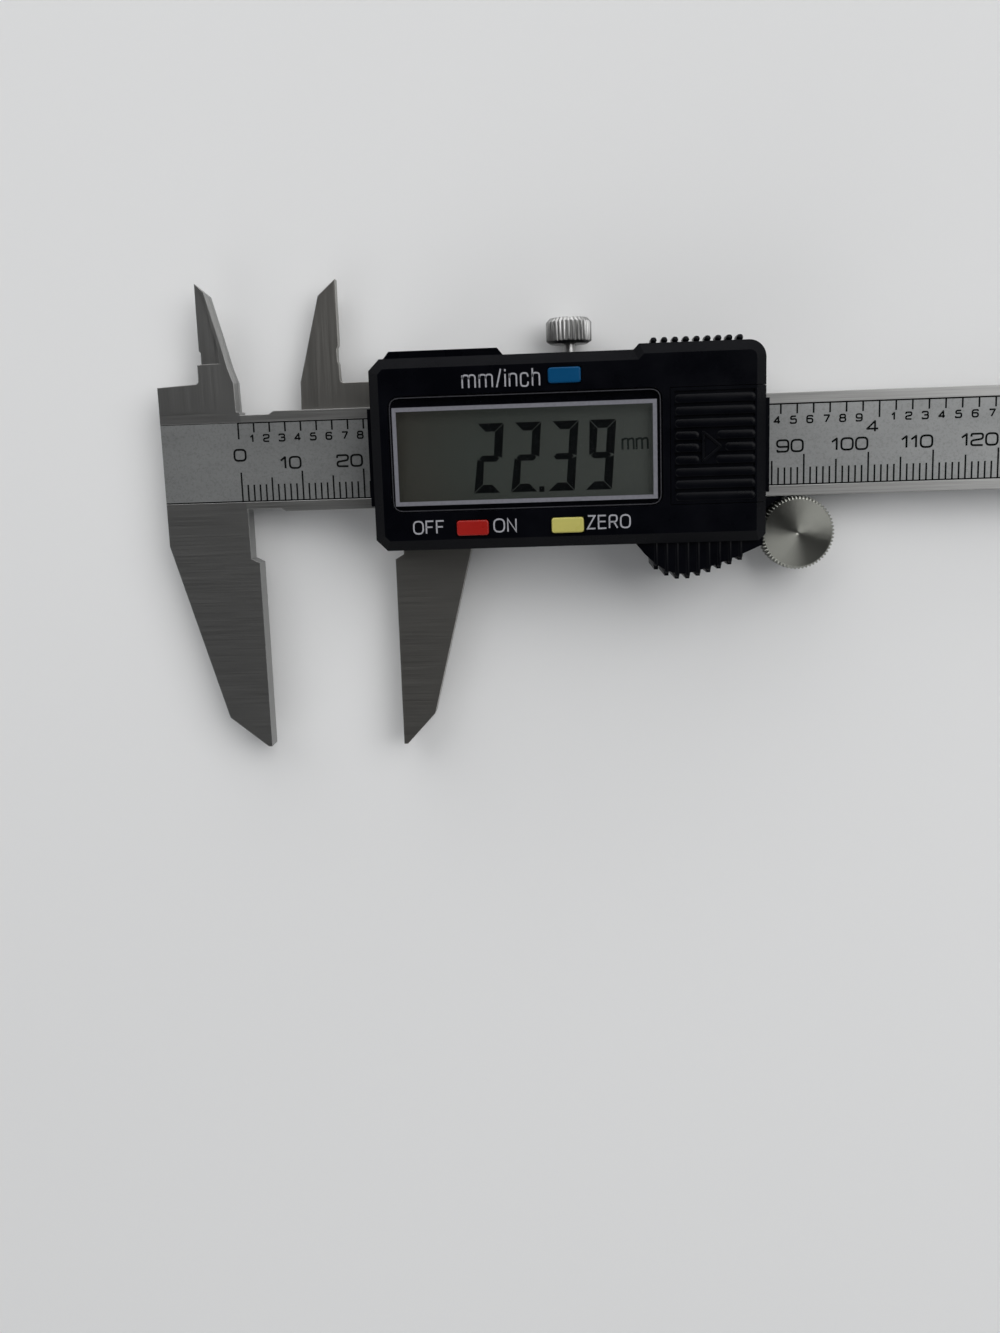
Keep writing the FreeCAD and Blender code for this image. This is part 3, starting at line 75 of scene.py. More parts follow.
class Shader:
    """A material of one Principled shader, with helpers for its node tree."""

    def __init__(self, name):
        self.made = bpy.data.materials.new(name)
        self.made.use_nodes = True
        self.tree = self.made.node_tree
        self.main = self.tree.nodes["Principled BSDF"]
        self.space = self.node("ShaderNodeTexCoord").outputs["Object"]

    def node(self, kind, **given):
        made = self.tree.nodes.new(kind)
        for key, value in given.items():
            setattr(made, key, value)
        return made

    def link(self, source, socket):
        self.tree.links.new(source, socket)

    def plain(self, **given):
        """Sets the shader's own sockets, for what is the same all over the surface."""
        for key, value in given.items():
            self.main.inputs[key.replace("_", " ")].default_value = value
        return self

    def noise(self, scale, detail=2.0, rough=0.5):
        """Noise with its own scale along X, Y and Z, in spots a metre."""
        mapping = self.node("ShaderNodeMapping")
        mapping.inputs["Scale"].default_value = scale
        self.link(self.space, mapping.inputs["Vector"])
        made = self.node("ShaderNodeTexNoise")
        made.inputs["Scale"].default_value = 1.0
        made.inputs["Detail"].default_value = detail
        made.inputs["Roughness"].default_value = rough
        self.link(mapping.outputs["Vector"], made.inputs["Vector"])
        return made.outputs["Fac"]

    def ramp(self, factor, stops):
        """Colours by the value of factor, as (value, colour) stops."""
        made = self.node("ShaderNodeValToRGB")
        ramp = made.color_ramp
        while len(ramp.elements) < len(stops):
            ramp.elements.new(0.5)
        for element, (place, colour) in zip(ramp.elements, stops):
            element.position = place
            element.color = (*colour, 1)
        self.link(factor, made.inputs["Fac"])
        return made.outputs["Color"]

    def level(self, factor, low, high, start=0.0, end=1.0):
        """The range from start to end turned into the range from low to high."""
        made = self.node("ShaderNodeMapRange")
        for key, value in zip(("From Min", "From Max", "To Min", "To Max"),
                              (start, end, low, high)):
            made.inputs[key].default_value = value
        self.link(factor, made.inputs["Value"])
        return made.outputs["Result"]

    def maths(self, kind, first, second):
        """One sum or comparison of two sockets, or of a socket and a number."""
        made = self.node("ShaderNodeMath", operation=kind)
        for socket, item in zip(made.inputs, (first, second)):
            if isinstance(item, (int, float)):
                socket.default_value = item
            else:
                self.link(item, socket)
        return made.outputs[0]

    def blend(self, factor, first, second, kind="MIX"):
        """Two colours mixed. The sockets used are those of the node's colour mode."""
        made = self.node("ShaderNodeMix", data_type="RGBA", blend_type=kind)
        if isinstance(factor, float):
            made.inputs["Factor"].default_value = factor
        else:
            self.link(factor, made.inputs["Factor"])
        for socket, item in zip((made.inputs[6], made.inputs[7]), (first, second)):
            if isinstance(item, tuple):
                socket.default_value = (*item, 1)
            else:
                self.link(item, socket)
        return made.outputs[2]

    def either(self, choice, first, second):
        """The first value where choice is 0, and the second where it is 1."""
        made = self.node("ShaderNodeMix")
        for socket, item in zip((made.inputs["Factor"], made.inputs[2], made.inputs[3]),
                                (choice, first, second)):
            self.link(item, socket)
        return made.outputs[0]

    def place(self):
        """The X, Y and Z of a point on the piece, as sockets by name."""
        made = self.node("ShaderNodeSeparateXYZ")
        self.link(self.space, made.inputs["Vector"])
        return made.outputs

    def bump(self, height, distance, strength, edge=0.0):
        """Fine relief, with edges that look rounded by the radius that edge gives."""
        made = self.node("ShaderNodeBump")
        made.inputs["Distance"].default_value = distance
        made.inputs["Strength"].default_value = strength
        self.link(height, made.inputs["Height"])
        if edge:
            round_off = self.node("ShaderNodeBevel", samples=6)
            round_off.inputs["Radius"].default_value = edge
            self.link(round_off.outputs["Normal"], made.inputs["Normal"])
        self.link(made.outputs["Normal"], self.main.inputs["Normal"])

    def colour(self, source):
        self.link(source, self.main.inputs["Base Color"])

    def rough(self, source):
        self.link(source, self.main.inputs["Roughness"])


def scaled(tone, factor):
    """A colour made darker or lighter."""
    return tuple(v * factor for v in tone)


def ground_steel(name, tone, split=False, rough=0.32, rails=1.0, edge=0.12 * MM):
    """Satin ground steel. The grain runs along X, and with split it runs along Y on the
    inside jaws. The rails beside the scale can get a painted sheen: the same steel as the
    jaws, made brighter."""
    s = Shader(name).plain(Metallic=1.0)
    grain = s.noise((60, 5200, 5200), 6.0, 0.65)
    if split:
        across = s.noise((5200, 60, 5200), 6.0, 0.65)
        on_jaw = s.maths("GREATER_THAN", s.place()["Y"], MIDDLE + JAW_LINE)
        grain = s.either(on_jaw, grain, across)
    cloud = s.noise((90, 90, 90), 3.0)
    light = scaled(tone, 1.08)
    streaks = s.ramp(grain, [(0.28, scaled(tone, 0.89)), (0.72, light)])
    patch = s.ramp(cloud, [(0.3, scaled(tone, 0.93)), (0.7, light)])
    shown = s.blend(0.35, streaks, patch)
    # Painted sheen: the rails beside the scale are the jaws' steel made brighter.
    if rails != 1.0:
        away = s.maths("ABSOLUTE", s.maths("SUBTRACT", s.place()["Y"], MIDDLE), 0)
        on_rail = s.maths("MULTIPLY", s.maths("LESS_THAN", away, RAIL_EDGE),
                          s.maths("GREATER_THAN", s.place()["X"], ZERO + 0.5 * MM))
        sheen_tone = scaled(tone, rails)
        bright = s.ramp(grain, [(0.30, scaled(sheen_tone, 0.82)), (0.70, scaled(sheen_tone, 1.16))])
        shown = s.blend(on_rail, shown, bright)
    s.colour(shown)
    s.rough(s.level(grain, rough - 0.05, rough + 0.07, 0.25, 0.75))
    s.bump(grain, 0.004 * MM, 0.4, edge)
    return s.made


def turned_steel(name, tone, rough=0.3):
    """Bright turned steel, for screws and pins."""
    s = Shader(name).plain(Metallic=1.0)
    spots = s.noise((1500, 1500, 1500), 4.0, 0.6)
    s.colour(s.ramp(spots, [(0.3, scaled(tone, 0.85)), (0.7, tone)]))
    s.rough(s.level(spots, rough - 0.05, rough + 0.08, 0.3, 0.7))
    s.bump(spots, 0.004 * MM, 0.4, 0.06 * MM)
    return s.made


def spun_steel(name, tone):
    """A facing cut: fine rings round the piece's own Z axis, with the highlight fanned out."""
    s = Shader(name).plain(Metallic=1.0, Anisotropic=0.95, Anisotropic_Rotation=0.25)
    around = s.node("ShaderNodeTangent", direction_type="RADIAL", axis="Z")
    s.link(around.outputs["Tangent"], s.main.inputs["Tangent"])
    rings = s.node("ShaderNodeTexWave", wave_type="RINGS", rings_direction="Z")
    rings.inputs["Scale"].default_value = 2600
    rings.inputs["Distortion"].default_value = 0.6
    rings.inputs["Detail"].default_value = 1.0
    s.link(s.space, rings.inputs["Vector"])
    spots = s.noise((1200, 1200, 1200), 3.0)
    s.colour(s.ramp(spots, [(0.25, scaled(tone, 0.9)), (0.75, tone)]))
    s.rough(s.level(rings.outputs["Fac"], 0.24, 0.31))
    s.bump(rings.outputs["Fac"], 0.003 * MM, 0.35)
    return s.made


def moulded(name, tone, rough, grit=0.01 * MM, dust=0.0, edge=0.15 * MM, worn=False, shine=0.5):
    """Moulded plastic with a spark-eroded grain, paler patches where it is worn, and dust."""
    s = Shader(name).plain(Specular_IOR_Level=shine)
    grain = s.noise((5200, 5200, 5200), 3.0, 0.6)
    cloud = s.noise((130, 130, 130), 4.0, 0.6)
    paler = tuple(v * 1.4 + 0.0006 for v in tone) if worn else scaled(tone, 1.15)
    base = s.ramp(cloud, [(0.35, tone), (0.75, paler)])
    if dust:
        specks = s.node("ShaderNodeTexVoronoi", feature="F1")
        specks.inputs["Scale"].default_value = 260
        s.link(s.space, specks.inputs["Vector"])
        in_speck = s.maths("LESS_THAN", specks.outputs["Distance"], 0.035)
        few = s.node("ShaderNodeTexNoise")
        few.inputs["Scale"].default_value = 95
        s.link(s.space, few.inputs["Vector"])
        dusty = s.maths("GREATER_THAN", few.outputs["Fac"], 0.58)
        shown = s.maths("MULTIPLY", s.maths("MULTIPLY", in_speck, dusty), dust)
        base = s.blend(shown, base, (0.35, 0.35, 0.36))
    s.colour(base)
    s.rough(s.level(cloud, rough - 0.07, rough + 0.08, 0.3, 0.7))
    s.bump(grain, grit, 0.35, edge)
    return s.made


def printed(name, tone, rough=0.55, shine=0.3):
    """Flat colour, a little uneven, for print and for the lens rim's painted highlight."""
    s = Shader(name).plain(Specular_IOR_Level=shine)
    patch = s.noise((2500, 2500, 2500), 3.0, 0.6)
    s.colour(s.ramp(patch, [(0.3, scaled(tone, 0.82)), (0.65, tone)]))
    s.rough(s.level(patch, rough - 0.05, rough + 0.1, 0.3, 0.7))
    return s.made


def foil(name):
    """The scale's label: satin aluminium-coloured foil under a matt film."""
    s = Shader(name).plain(Metallic=0.7)
    fine = s.noise((7000, 7000, 7000), 2.0, 0.5)
    cloud = s.noise((60, 160, 60), 3.0, 0.55)
    tone = s.ramp(cloud, [(0.3, (0.27, 0.277, 0.276)), (0.7, (0.32, 0.327, 0.326))])
    coarse = s.noise((2600, 2600, 2600), 5.0, 0.7)
    grit = s.ramp(coarse, [(0.36, (0.68, 0.68, 0.67)), (0.50, (0.97, 0.97, 0.97)),
                           (0.66, (1.0, 1.0, 1.0)), (0.72, (1.22, 1.22, 1.20))])
    s.colour(s.blend(0.6, tone, grit, "MULTIPLY"))
    s.rough(s.level(fine, 0.40, 0.52, 0.3, 0.7))
    s.bump(fine, 0.004 * MM, 0.4)
    return s.made


def clear(name):
    """Clear acrylic that lets the lamps through to what lies behind it. Its refractive index
    is lower than acrylic's 1.49, so that the lamps' reflection doesn't hide the digits."""
    s = Shader(name).plain(Base_Color=(1, 1, 1, 1), Roughness=0.03, IOR=1.16,
                           Specular_IOR_Level=0.03)
    s.main.inputs["Transmission Weight"].default_value = 1.0
    open_way = s.node("ShaderNodeBsdfTransparent")
    path = s.node("ShaderNodeLightPath")
    choose = s.node("ShaderNodeMixShader")
    straight = s.maths("MAXIMUM", path.outputs["Is Shadow Ray"], path.outputs["Is Diffuse Ray"])
    s.link(straight, choose.inputs["Fac"])
    s.link(s.main.outputs["BSDF"], choose.inputs[1])
    s.link(open_way.outputs["BSDF"], choose.inputs[2])
    s.link(choose.outputs["Shader"], s.tree.nodes["Material Output"].inputs["Surface"])
    return s.made


def display(name):
    """The liquid crystal panel: a grey-green reflector, cloudy, darker and warmer on the left."""
    s = Shader(name).plain(Specular_IOR_Level=0.03)
    along = s.level(s.place()["X"], 0.0, 1.0, GLASS[0].x, GLASS[1].x)
    cloud = s.noise((120, 160, 120), 3.0)
    uneven = s.maths("ADD", along, s.level(cloud, -0.12, 0.12))
    s.colour(s.ramp(uneven, [(0.0, (0.038, 0.037, 0.031)), (0.35, (0.038, 0.043, 0.038)),
                             (1.0, (0.052, 0.057, 0.052))]))
    fine = s.noise((4000, 4000, 4000), 2.0)
    s.rough(s.level(fine, 0.50, 0.58))
    return s.made


def laminate(name):
    """Green circuit board with a faint weave."""
    s = Shader(name).plain(Specular_IOR_Level=0.5)
    weave = s.noise((3000, 900, 3000), 2.0)
    s.colour(s.ramp(weave, [(0.3, (0.010, 0.060, 0.022)), (0.7, (0.016, 0.095, 0.035))]))
    s.rough(s.level(weave, 0.3, 0.45))
    s.bump(weave, 0.01 * MM, 0.3)
    return s.made


BLACK = (0.0012, 0.0014, 0.0026)
FINISHES = {
    # The beam's rails get a painted sheen, 1.25 times as bright as its jaws.
    "beam_steel": ground_steel("beam_steel_look", (0.305, 0.305, 0.30), split=True, rough=0.38,
                               rails=1.25),
    "frame_steel": ground_steel("frame_steel_look", (0.32, 0.313, 0.296), split=True, rough=0.36),
    "plate_steel": ground_steel("plate_steel_look", (0.36, 0.36, 0.35), rough=0.33),
    "screw_steel": turned_steel("screw_steel_look", (0.45, 0.45, 0.44)),
    "knurled_steel": turned_steel("knurled_steel_look", (0.42, 0.42, 0.415), 0.34),
    "cell_steel": turned_steel("cell_steel_look", (0.27, 0.27, 0.265), 0.45),
    "brass_gib": turned_steel("brass_gib_look", (0.62, 0.45, 0.20), 0.33),
    "contact_metal": turned_steel("contact_metal_look", (0.66, 0.60, 0.45), 0.28),
    "scale_foil": foil("scale_foil_look"),
    "circuit_laminate": laminate("circuit_laminate_look"),
    "chip_resin": moulded("chip_resin_look", (0.008, 0.008, 0.008), 0.35),
    "housing_plastic": moulded("housing_plastic_look", BLACK, 0.30, dust=0.35, edge=0.0,
                               worn=True, shine=0.06),
    "window_clear": clear("window_clear_look"),
    "lcd_panel": display("lcd_panel_look"),
    "connector_rubber": moulded("connector_rubber_look", (0.16, 0.16, 0.17), 0.6),
    "button_blue": moulded("button_blue_look", (0.0006, 0.055, 0.145), 0.30, 0.004 * MM,
                           shine=0.16),
    "button_red": moulded("button_red_look", (0.300, 0.010, 0.007), 0.30, 0.004 * MM,
                          shine=0.3),
    "button_yellow": moulded("button_yellow_look", (0.480, 0.440, 0.120), 0.30, 0.004 * MM,
                             shine=0.3),
}
# Black for the scale's print, and for the painted shadow lines along the label's edges.
PRINT_AND_SHADOW_BLACK = printed("ink_and_shadow_black", (0.004, 0.0045, 0.0045), 0.6, 0.06)
INK_WHITE = printed("ink_white", (0.37, 0.37, 0.40))
# A painted highlight: grey for the window's rim, standing in for its edge catching the light.
RIM_GLINT = printed("lens_rim_look", (0.040, 0.040, 0.046), 0.3, 0.5)
INK_FRAME = printed("ink_frame", (0.19, 0.19, 0.215), 0.4)
LCD_DARK = printed("lcd_dark", (0.0008, 0.0014, 0.0016), 0.5, 0.05)
LCD_FAINT = printed("lcd_faint", (0.009, 0.012, 0.011), 0.5, 0.05)
RIBBED = moulded("ribbed_plastic_look", BLACK, 0.30, dust=0.35, worn=True, shine=0.10)
SPUN = spun_steel("spun_steel_look", (0.37, 0.375, 0.34))

# The width in millimetres of each piece's broken edges.
ROUNDED = {"front_housing": 0.16, "battery_cover": 0.22, "data_port_cover": 0.2,
           "mode_button": 0.3, "power_button": 0.3, "zero_button": 0.3,
           "display_window": 0.2, "main_beam": 0.06, "slider_frame": 0.06, "rear_plate": 0.12,
           "roller_bracket": 0.12, "end_stop": 0.12, "depth_rod": 0.08}

for name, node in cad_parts.items():
    for held in node.material_slots:
        held.material = FINISHES[held.material.name.split(".")[0]]
    if name in ROUNDED:
        merge = node.modifiers.new("flat_faces", "DECIMATE")
        merge.decimate_type = "DISSOLVE"
        merge.angle_limit = math.radians(1.0)
        edge = node.modifiers.new("broken_edges", "BEVEL")
        edge.width = ROUNDED[name] * MM
        edge.segments = 2
        edge.limit_method = "ANGLE"
        edge.angle_limit = math.radians(32)
        edge.harden_normals = True


# ---------------------------------------------------------------- mesh helpers

def keep(name, shape, material, body, sharp=35.0):
    """Turns a bmesh into a piece that rides on a body."""
    data = bpy.data.meshes.new(name)
    bmesh.ops.recalc_face_normals(shape, faces=shape.faces)
    shape.to_mesh(data)
    shape.free()
    for face in data.polygons:
        face.use_smooth = True
    data.set_sharp_from_angle(angle=math.radians(sharp))
    data.materials.append(material)
    made = bpy.data.objects.new(name, data)
    bpy.context.scene.collection.objects.link(made)
    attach(made, body)
    return made


def slab(shape, corners, low, high):
    """A flat prism over a polygon, closed all round."""
    floor = [shape.verts.new((x, y, low)) for x, y in corners]
    roof = [shape.verts.new((x, y, high)) for x, y in corners]
    count = len(corners)
    shape.faces.new(roof)
    shape.faces.new(floor[::-1])
    for i in range(count):
        j = (i + 1) % count
        shape.faces.new((floor[i], floor[j], roof[j], roof[i]))


def bar(shape, left, right, bottom, top, low, high):
    """A box. Bottom and top are along Y, low and high along Z."""
    slab(shape, [(left, bottom), (right, bottom), (right, top), (left, top)], low, high)


CORNER_STEPS = 4
# Print is sunk a little into its face, so that no gap shows under it.
SUNK = 0.01 * MM


def softened(points, radius, closed):
    """The same line with its corners rounded."""
    count = len(points)
    line = []
    for i, corner in enumerate(points):
        if radius == 0 or (not closed and i in (0, count - 1)):
            line.append(corner)
            continue
        before = points[i - 1] - corner
        after = points[(i + 1) % count] - corner
        cut = min(radius, before.length * 0.48, after.length * 0.48)
        start = corner + before.normalized() * cut
        end = corner + after.normalized() * cut
        for step in range(CORNER_STEPS + 1):
            t = step / CORNER_STEPS
            line.append(start * (1 - t) ** 2 + corner * (2 * t * (1 - t)) + end * t ** 2)
    return line


def ribbon(shape, points, width, low, high, closed):
    """A flat band of one width along a line."""
    count = len(points)
    left, right = [], []
    for i, here in enumerate(points):
        back = points[i - 1] if closed or i else here
        ahead = points[(i + 1) % count] if closed or i < count - 1 else here
        way_in = (here - back).normalized() if (here - back).length else None
        way_out = (ahead - here).normalized() if (ahead - here).length else None
        way = ((way_in or way_out) + (way_out or way_in)).normalized()
        side = Vector((-way.y, way.x))
        own = way_in or way_out
        reach = width / 2 / max(0.5, abs(side.dot(Vector((-own.y, own.x)))))
        left.append(here + side * reach)
        right.append(here - side * reach)
    rings = []
    for a, b in zip(left, right):
        rings.append([shape.verts.new((a.x, a.y, low)), shape.verts.new((a.x, a.y, high)),
                      shape.verts.new((b.x, b.y, high)), shape.verts.new((b.x, b.y, low))])
    last = count if closed else count - 1
    for i in range(last):
        one, two = rings[i], rings[(i + 1) % count]
        for k in range(4):
            m = (k + 1) % 4
            shape.faces.new((one[k], one[m], two[m], two[k]))
    if not closed:
        shape.faces.new(rings[0])
        shape.faces.new(rings[-1][::-1])


def spin(shape, profile, steps, teeth, depth):
    """Turns a profile of (radius, height, knurled) round Z. Knurled rings get teeth, as deep
    as the share of depth that knurled gives."""
    rings = []
    for radius, height, knurled in profile:
        if radius == 0:
            rings.append([shape.verts.new((0, 0, height))])
            continue
        ring = []
        for i in range(steps):
            turn = 2 * math.pi * i / steps
            phase = (i * teeth / steps) % 1.0
            dip = depth * knurled * abs(2 * phase - 1) ** 1.5
            ring.append(shape.verts.new(((radius - dip) * math.cos(turn),
                                         (radius - dip) * math.sin(turn), height)))
        rings.append(ring)
    for one, two in zip(rings, rings[1:]):
        for i in range(steps):
            j = (i + 1) % steps
            if len(one) == 1:
                shape.faces.new((one[0], two[j], two[i]))
            elif len(two) == 1:
                shape.faces.new((one[i], one[j], two[0]))
            else:
                shape.faces.new((one[i], one[j], two[j], two[i]))


# ---------------------------------------------------------------- printed scale, with painted shadow at the label's edges

# Each numeral as lines on a unit square, open or closed, then its width and the softness of
# its corners.
NUMERALS = {
    "0": ([([(0, 0), (1, 0), (1, 1), (0, 1)], True)], 1.0, 0.3),
    "1": ([([(0, 0.70), (0.42, 1), (0.42, 0)], False)], 0.56, 0.02),
    "2": ([([(0, 0.76), (0, 1), (1, 1), (1, 0.55), (0, 0.42), (0, 0.02), (1, 0)], False)],
          1.0, 0.24),
    "3": ([([(0, 0.80), (0, 1), (0.97, 1), (0.97, 0.53), (0.3, 0.53)], False),
           ([(0.6, 0.53), (1, 0.53), (1, 0), (0, 0), (0, 0.2)], False)], 1.0, 0.24),
    "4": ([([(0.74, 0), (0.74, 1), (0, 0.27), (1.04, 0.27)], False)], 1.0, 0.02),
    "5": ([([(0.95, 1), (0.08, 1), (0.02, 0.57), (1, 0.62), (1, 0), (0, 0), (0, 0.2)],
            False)], 1.0, 0.2),
    "6": ([([(0.97, 0.80), (0.97, 1), (0, 1), (0, 0), (1, 0), (1, 0.58), (0, 0.58)],
            False)], 1.0, 0.26),
    "7": ([([(0, 1), (1, 1), (0.36, 0)], False)], 0.95, 0.04),
    "8": ([([(0, 0), (1, 0), (1, 0.53), (0, 0.53)], True),
           ([(0.05, 0.53), (0.95, 0.53), (0.95, 1), (0.05, 1)], True)], 1.0, 0.24),
    "9": ([([(0.03, 0.18), (0.03, 0), (1, 0), (1, 1), (0, 1), (0, 0.42), (1, 0.42)],
            False)], 1.0, 0.26),
}


# Print sizes in millimetres: a numeral's height and width, line outside to line outside, the
# line's width, and the gap between numerals.
NOUGHT = (2.06, 2.14, 0.31, 0.2)
TENS = (2.08, 2.08, 0.31, 0.17)
INCH = (1.88, 1.93, 0.28, 0.2)
TENTH = (1.3, 1.12, 0.25, 0.14)
LINE = 0.26  # a ruled line's width
LOW, HIGH = LABEL[1].z - SUNK, LABEL[1].z + 0.012 * MM
LABEL_HALF = (LABEL[1].y - LABEL[0].y) / 2 / MM


def number(shape, words, right, base, size):
    """A number on the label whose last numeral ends at right, in millimetres."""
    tall, wide, line, apart = size
    end = right
    for numeral in reversed(words):
        strokes, share, soft = NUMERALS[numeral]
        across = (wide - line) * share
        for points, closed in strokes:
            placed = []
            for x, y in points:
                place = on_label(end - line / 2 - across + x * (wide - line),
                                 base + line / 2 + y * (tall - line))
                placed.append(Vector(place))
            ribbon(shape, softened(placed, soft * tall * MM, closed), line * MM, LOW, HIGH,
                   closed)
        end -= across + line + apart


def tick(shape, along, bottom, top):
    """A ruled line across the label, in millimetres."""
    left, low_y = on_label(along - LINE / 2, bottom)
    right, high_y = on_label(along + LINE / 2, top)
    bar(shape, left, right, low_y, high_y, LOW, HIGH)


RULED = 150  # millimetres
TENTHS = 60  # of an inch
TENTH_PITCH = 2.54
INCH_LINES_TOP = 6.2
print_and_shadow = bmesh.new()
for count in range(RULED + 1):
    top = -1.58 if count % 10 == 0 else -2.5 if count % 5 == 0 else -3.58
    tick(print_and_shadow, count, -LABEL_HALF + 0.12, top)
for count in range(TENTHS):
    along = count * TENTH_PITCH
    tick(print_and_shadow, along, 3.72 if count % 10 == 0 else 4.72, INCH_LINES_TOP)
    if count % 10:
        number(print_and_shadow, str(count % 10), along - 0.02, 3.12, TENTH)
    elif count:
        number(print_and_shadow, str(count // 10), along - 0.08, 1.4, INCH)
# The long printed line over the inch lines, and painted shadow lines along the label's two edges,
# where it meets its recess.
line_left, line_low = on_label(-LINE / 2, INCH_LINES_TOP - 0.04)
bar(print_and_shadow, line_left, LABEL[1].x - 0.05 * MM, line_low, line_low + 0.2 * MM, LOW, HIGH)
for edge_low, width in ((-LABEL_HALF, 0.2), (LABEL_HALF - 0.07, 0.07)):
    _, low_y = on_label(0, edge_low)
    bar(print_and_shadow, LABEL[0].x, LABEL[1].x, low_y, low_y + width * MM, LOW, HIGH)
number(print_and_shadow, "0", 1.08, 0.15, NOUGHT)
for count in range(10, RULED + 1, 10):
    number(print_and_shadow, str(count), count - 0.02, -1.28, TENS)
keep("scale_print_and_edge_shadow", print_and_shadow, PRINT_AND_SHADOW_BLACK, "beam")

# ---------------------------------------------------------------- display

LCD = GLASS[1].z
READING = "2239"
SEGMENTS = {"2": "abged", "3": "abgcd", "9": "abgcdf"}


def lcd_numeral(shape, which, right, base):
    """One seven-segment numeral, leaning to the right. All sizes are in millimetres: side
    and level are the segments' thicknesses, half is half of the middle one's, and blunt and
    the two shifts are how far the segments fall short of the corners."""
    wide, tall = 4.02, 10.45
    side, level, gap = 1.28, 1.24, 0.07
    middle = tall * 0.495
    half = 0.47
    lean = 0.080
    blunt = 0.25
    shift_left, shift_right = 0.45, 0.35
    outlines = {
        "a": [(gap, tall), (wide - gap, tall), (wide - level - gap, tall - level),
              (level + gap, tall - level)],
        "d": [(gap, 0), (level + gap, level), (wide - level - gap, level), (wide - gap, 0)],
        "f": [(0, tall - gap), (side, tall - side - gap), (side, middle + half + gap),
              (blunt, middle + gap)],
        "b": [(wide, tall - gap), (wide, middle + gap),
              (wide - side, middle + half + gap), (wide - side, tall - side - gap)],
        "e": [(0, gap), (blunt, middle - gap), (side, middle - half - gap),
              (side, side + gap)],
        "c": [(wide, gap), (wide - side, side + gap), (wide - side, middle - half - gap),
              (wide, middle - gap)],
        "g": [(gap + shift_left, middle), (half + gap + shift_left, middle + half),
              (wide - half - gap - shift_right, middle + half),
              (wide - gap - shift_right, middle),
              (wide - half - gap - shift_right, middle - half),
              (half + gap + shift_left, middle - half)],
    }
    for segment in SEGMENTS[which]:
        corners = [on_face(right - wide + x - (tall - y) * lean, base + y)
                   for x, y in outlines[segment]]
        slab(shape, corners, LCD - SUNK, LCD + 0.02 * MM)


FIRST_NUMERAL, NUMERAL_PITCH = 17.43, 5.67
digits = bmesh.new()
for place, which in enumerate(READING):
    lcd_numeral(digits, which, FIRST_NUMERAL + NUMERAL_PITCH * place, -6.12)
# The decimal point.
left, low_y = on_face(22.55, -6.2)
bar(digits, left, left + 0.78 * MM, low_y, low_y + 0.84 * MM, LCD - SUNK, LCD + 0.02 * MM)
keep("lcd_digits", digits, LCD_DARK, "slider")

# The unit, mm, as two letters of three strokes.
unit = bmesh.new()
for start in (35.3, 37.42):
    for points in ([(0, 0), (0, 1.66)], [(0, 1.4), (0.35, 1.66), (0.82, 1.6), (0.86, 0)],
                   [(0.86, 1.4), (1.2, 1.66), (1.66, 1.6), (1.7, 0)]):
        placed = [Vector(on_face(start + x, -0.27 + y)) for x, y in points]
        ribbon(unit, softened(placed, 0.3 * MM, False), 0.3 * MM, LCD - SUNK, LCD + 0.015 * MM,
               False)
keep("lcd_unit", unit, LCD_FAINT, "slider")

# The printed border on the window: upper, lower, left and right.
border = bmesh.new()
TOP = WINDOW[1].z
(out_left, out_low), (out_right, out_high) = on_face(0.56, -7.7), on_face(40.46, 7.05)
(in_left, in_low), (in_right, in_high) = on_face(1.16, -7.08), on_face(39.84, 6.44)
for sides in ((out_left, out_right, in_high, out_high), (out_left, out_right, out_low, in_low),
              (out_left, in_left, in_low, in_high), (in_right, out_right, in_low, in_high)):
    bar(border, *sides, TOP - SUNK, TOP + 0.012 * MM)
keep("lens_border_print", border, INK_FRAME, "slider")

# A painted highlight: a thin grey line along the window's rim, where its edge would catch the
# light.
rim = bmesh.new()
RIM_IN = 0.24 * MM
low, high = WINDOW[0] + Vector((RIM_IN, RIM_IN, 0)), WINDOW[1] - Vector((RIM_IN, RIM_IN, 0))
corners = [Vector(pair) for pair in ((low.x, low.y), (high.x, low.y), (high.x, high.y),
                                     (low.x, high.y))]
ribbon(rim, softened(corners, 1.5 * MM, True), 0.15 * MM, TOP - 0.02 * MM, TOP + 0.008 * MM, True)
keep("lens_rim", rim, RIM_GLINT, "slider")


# ---------------------------------------------------------------- lettering on the housing

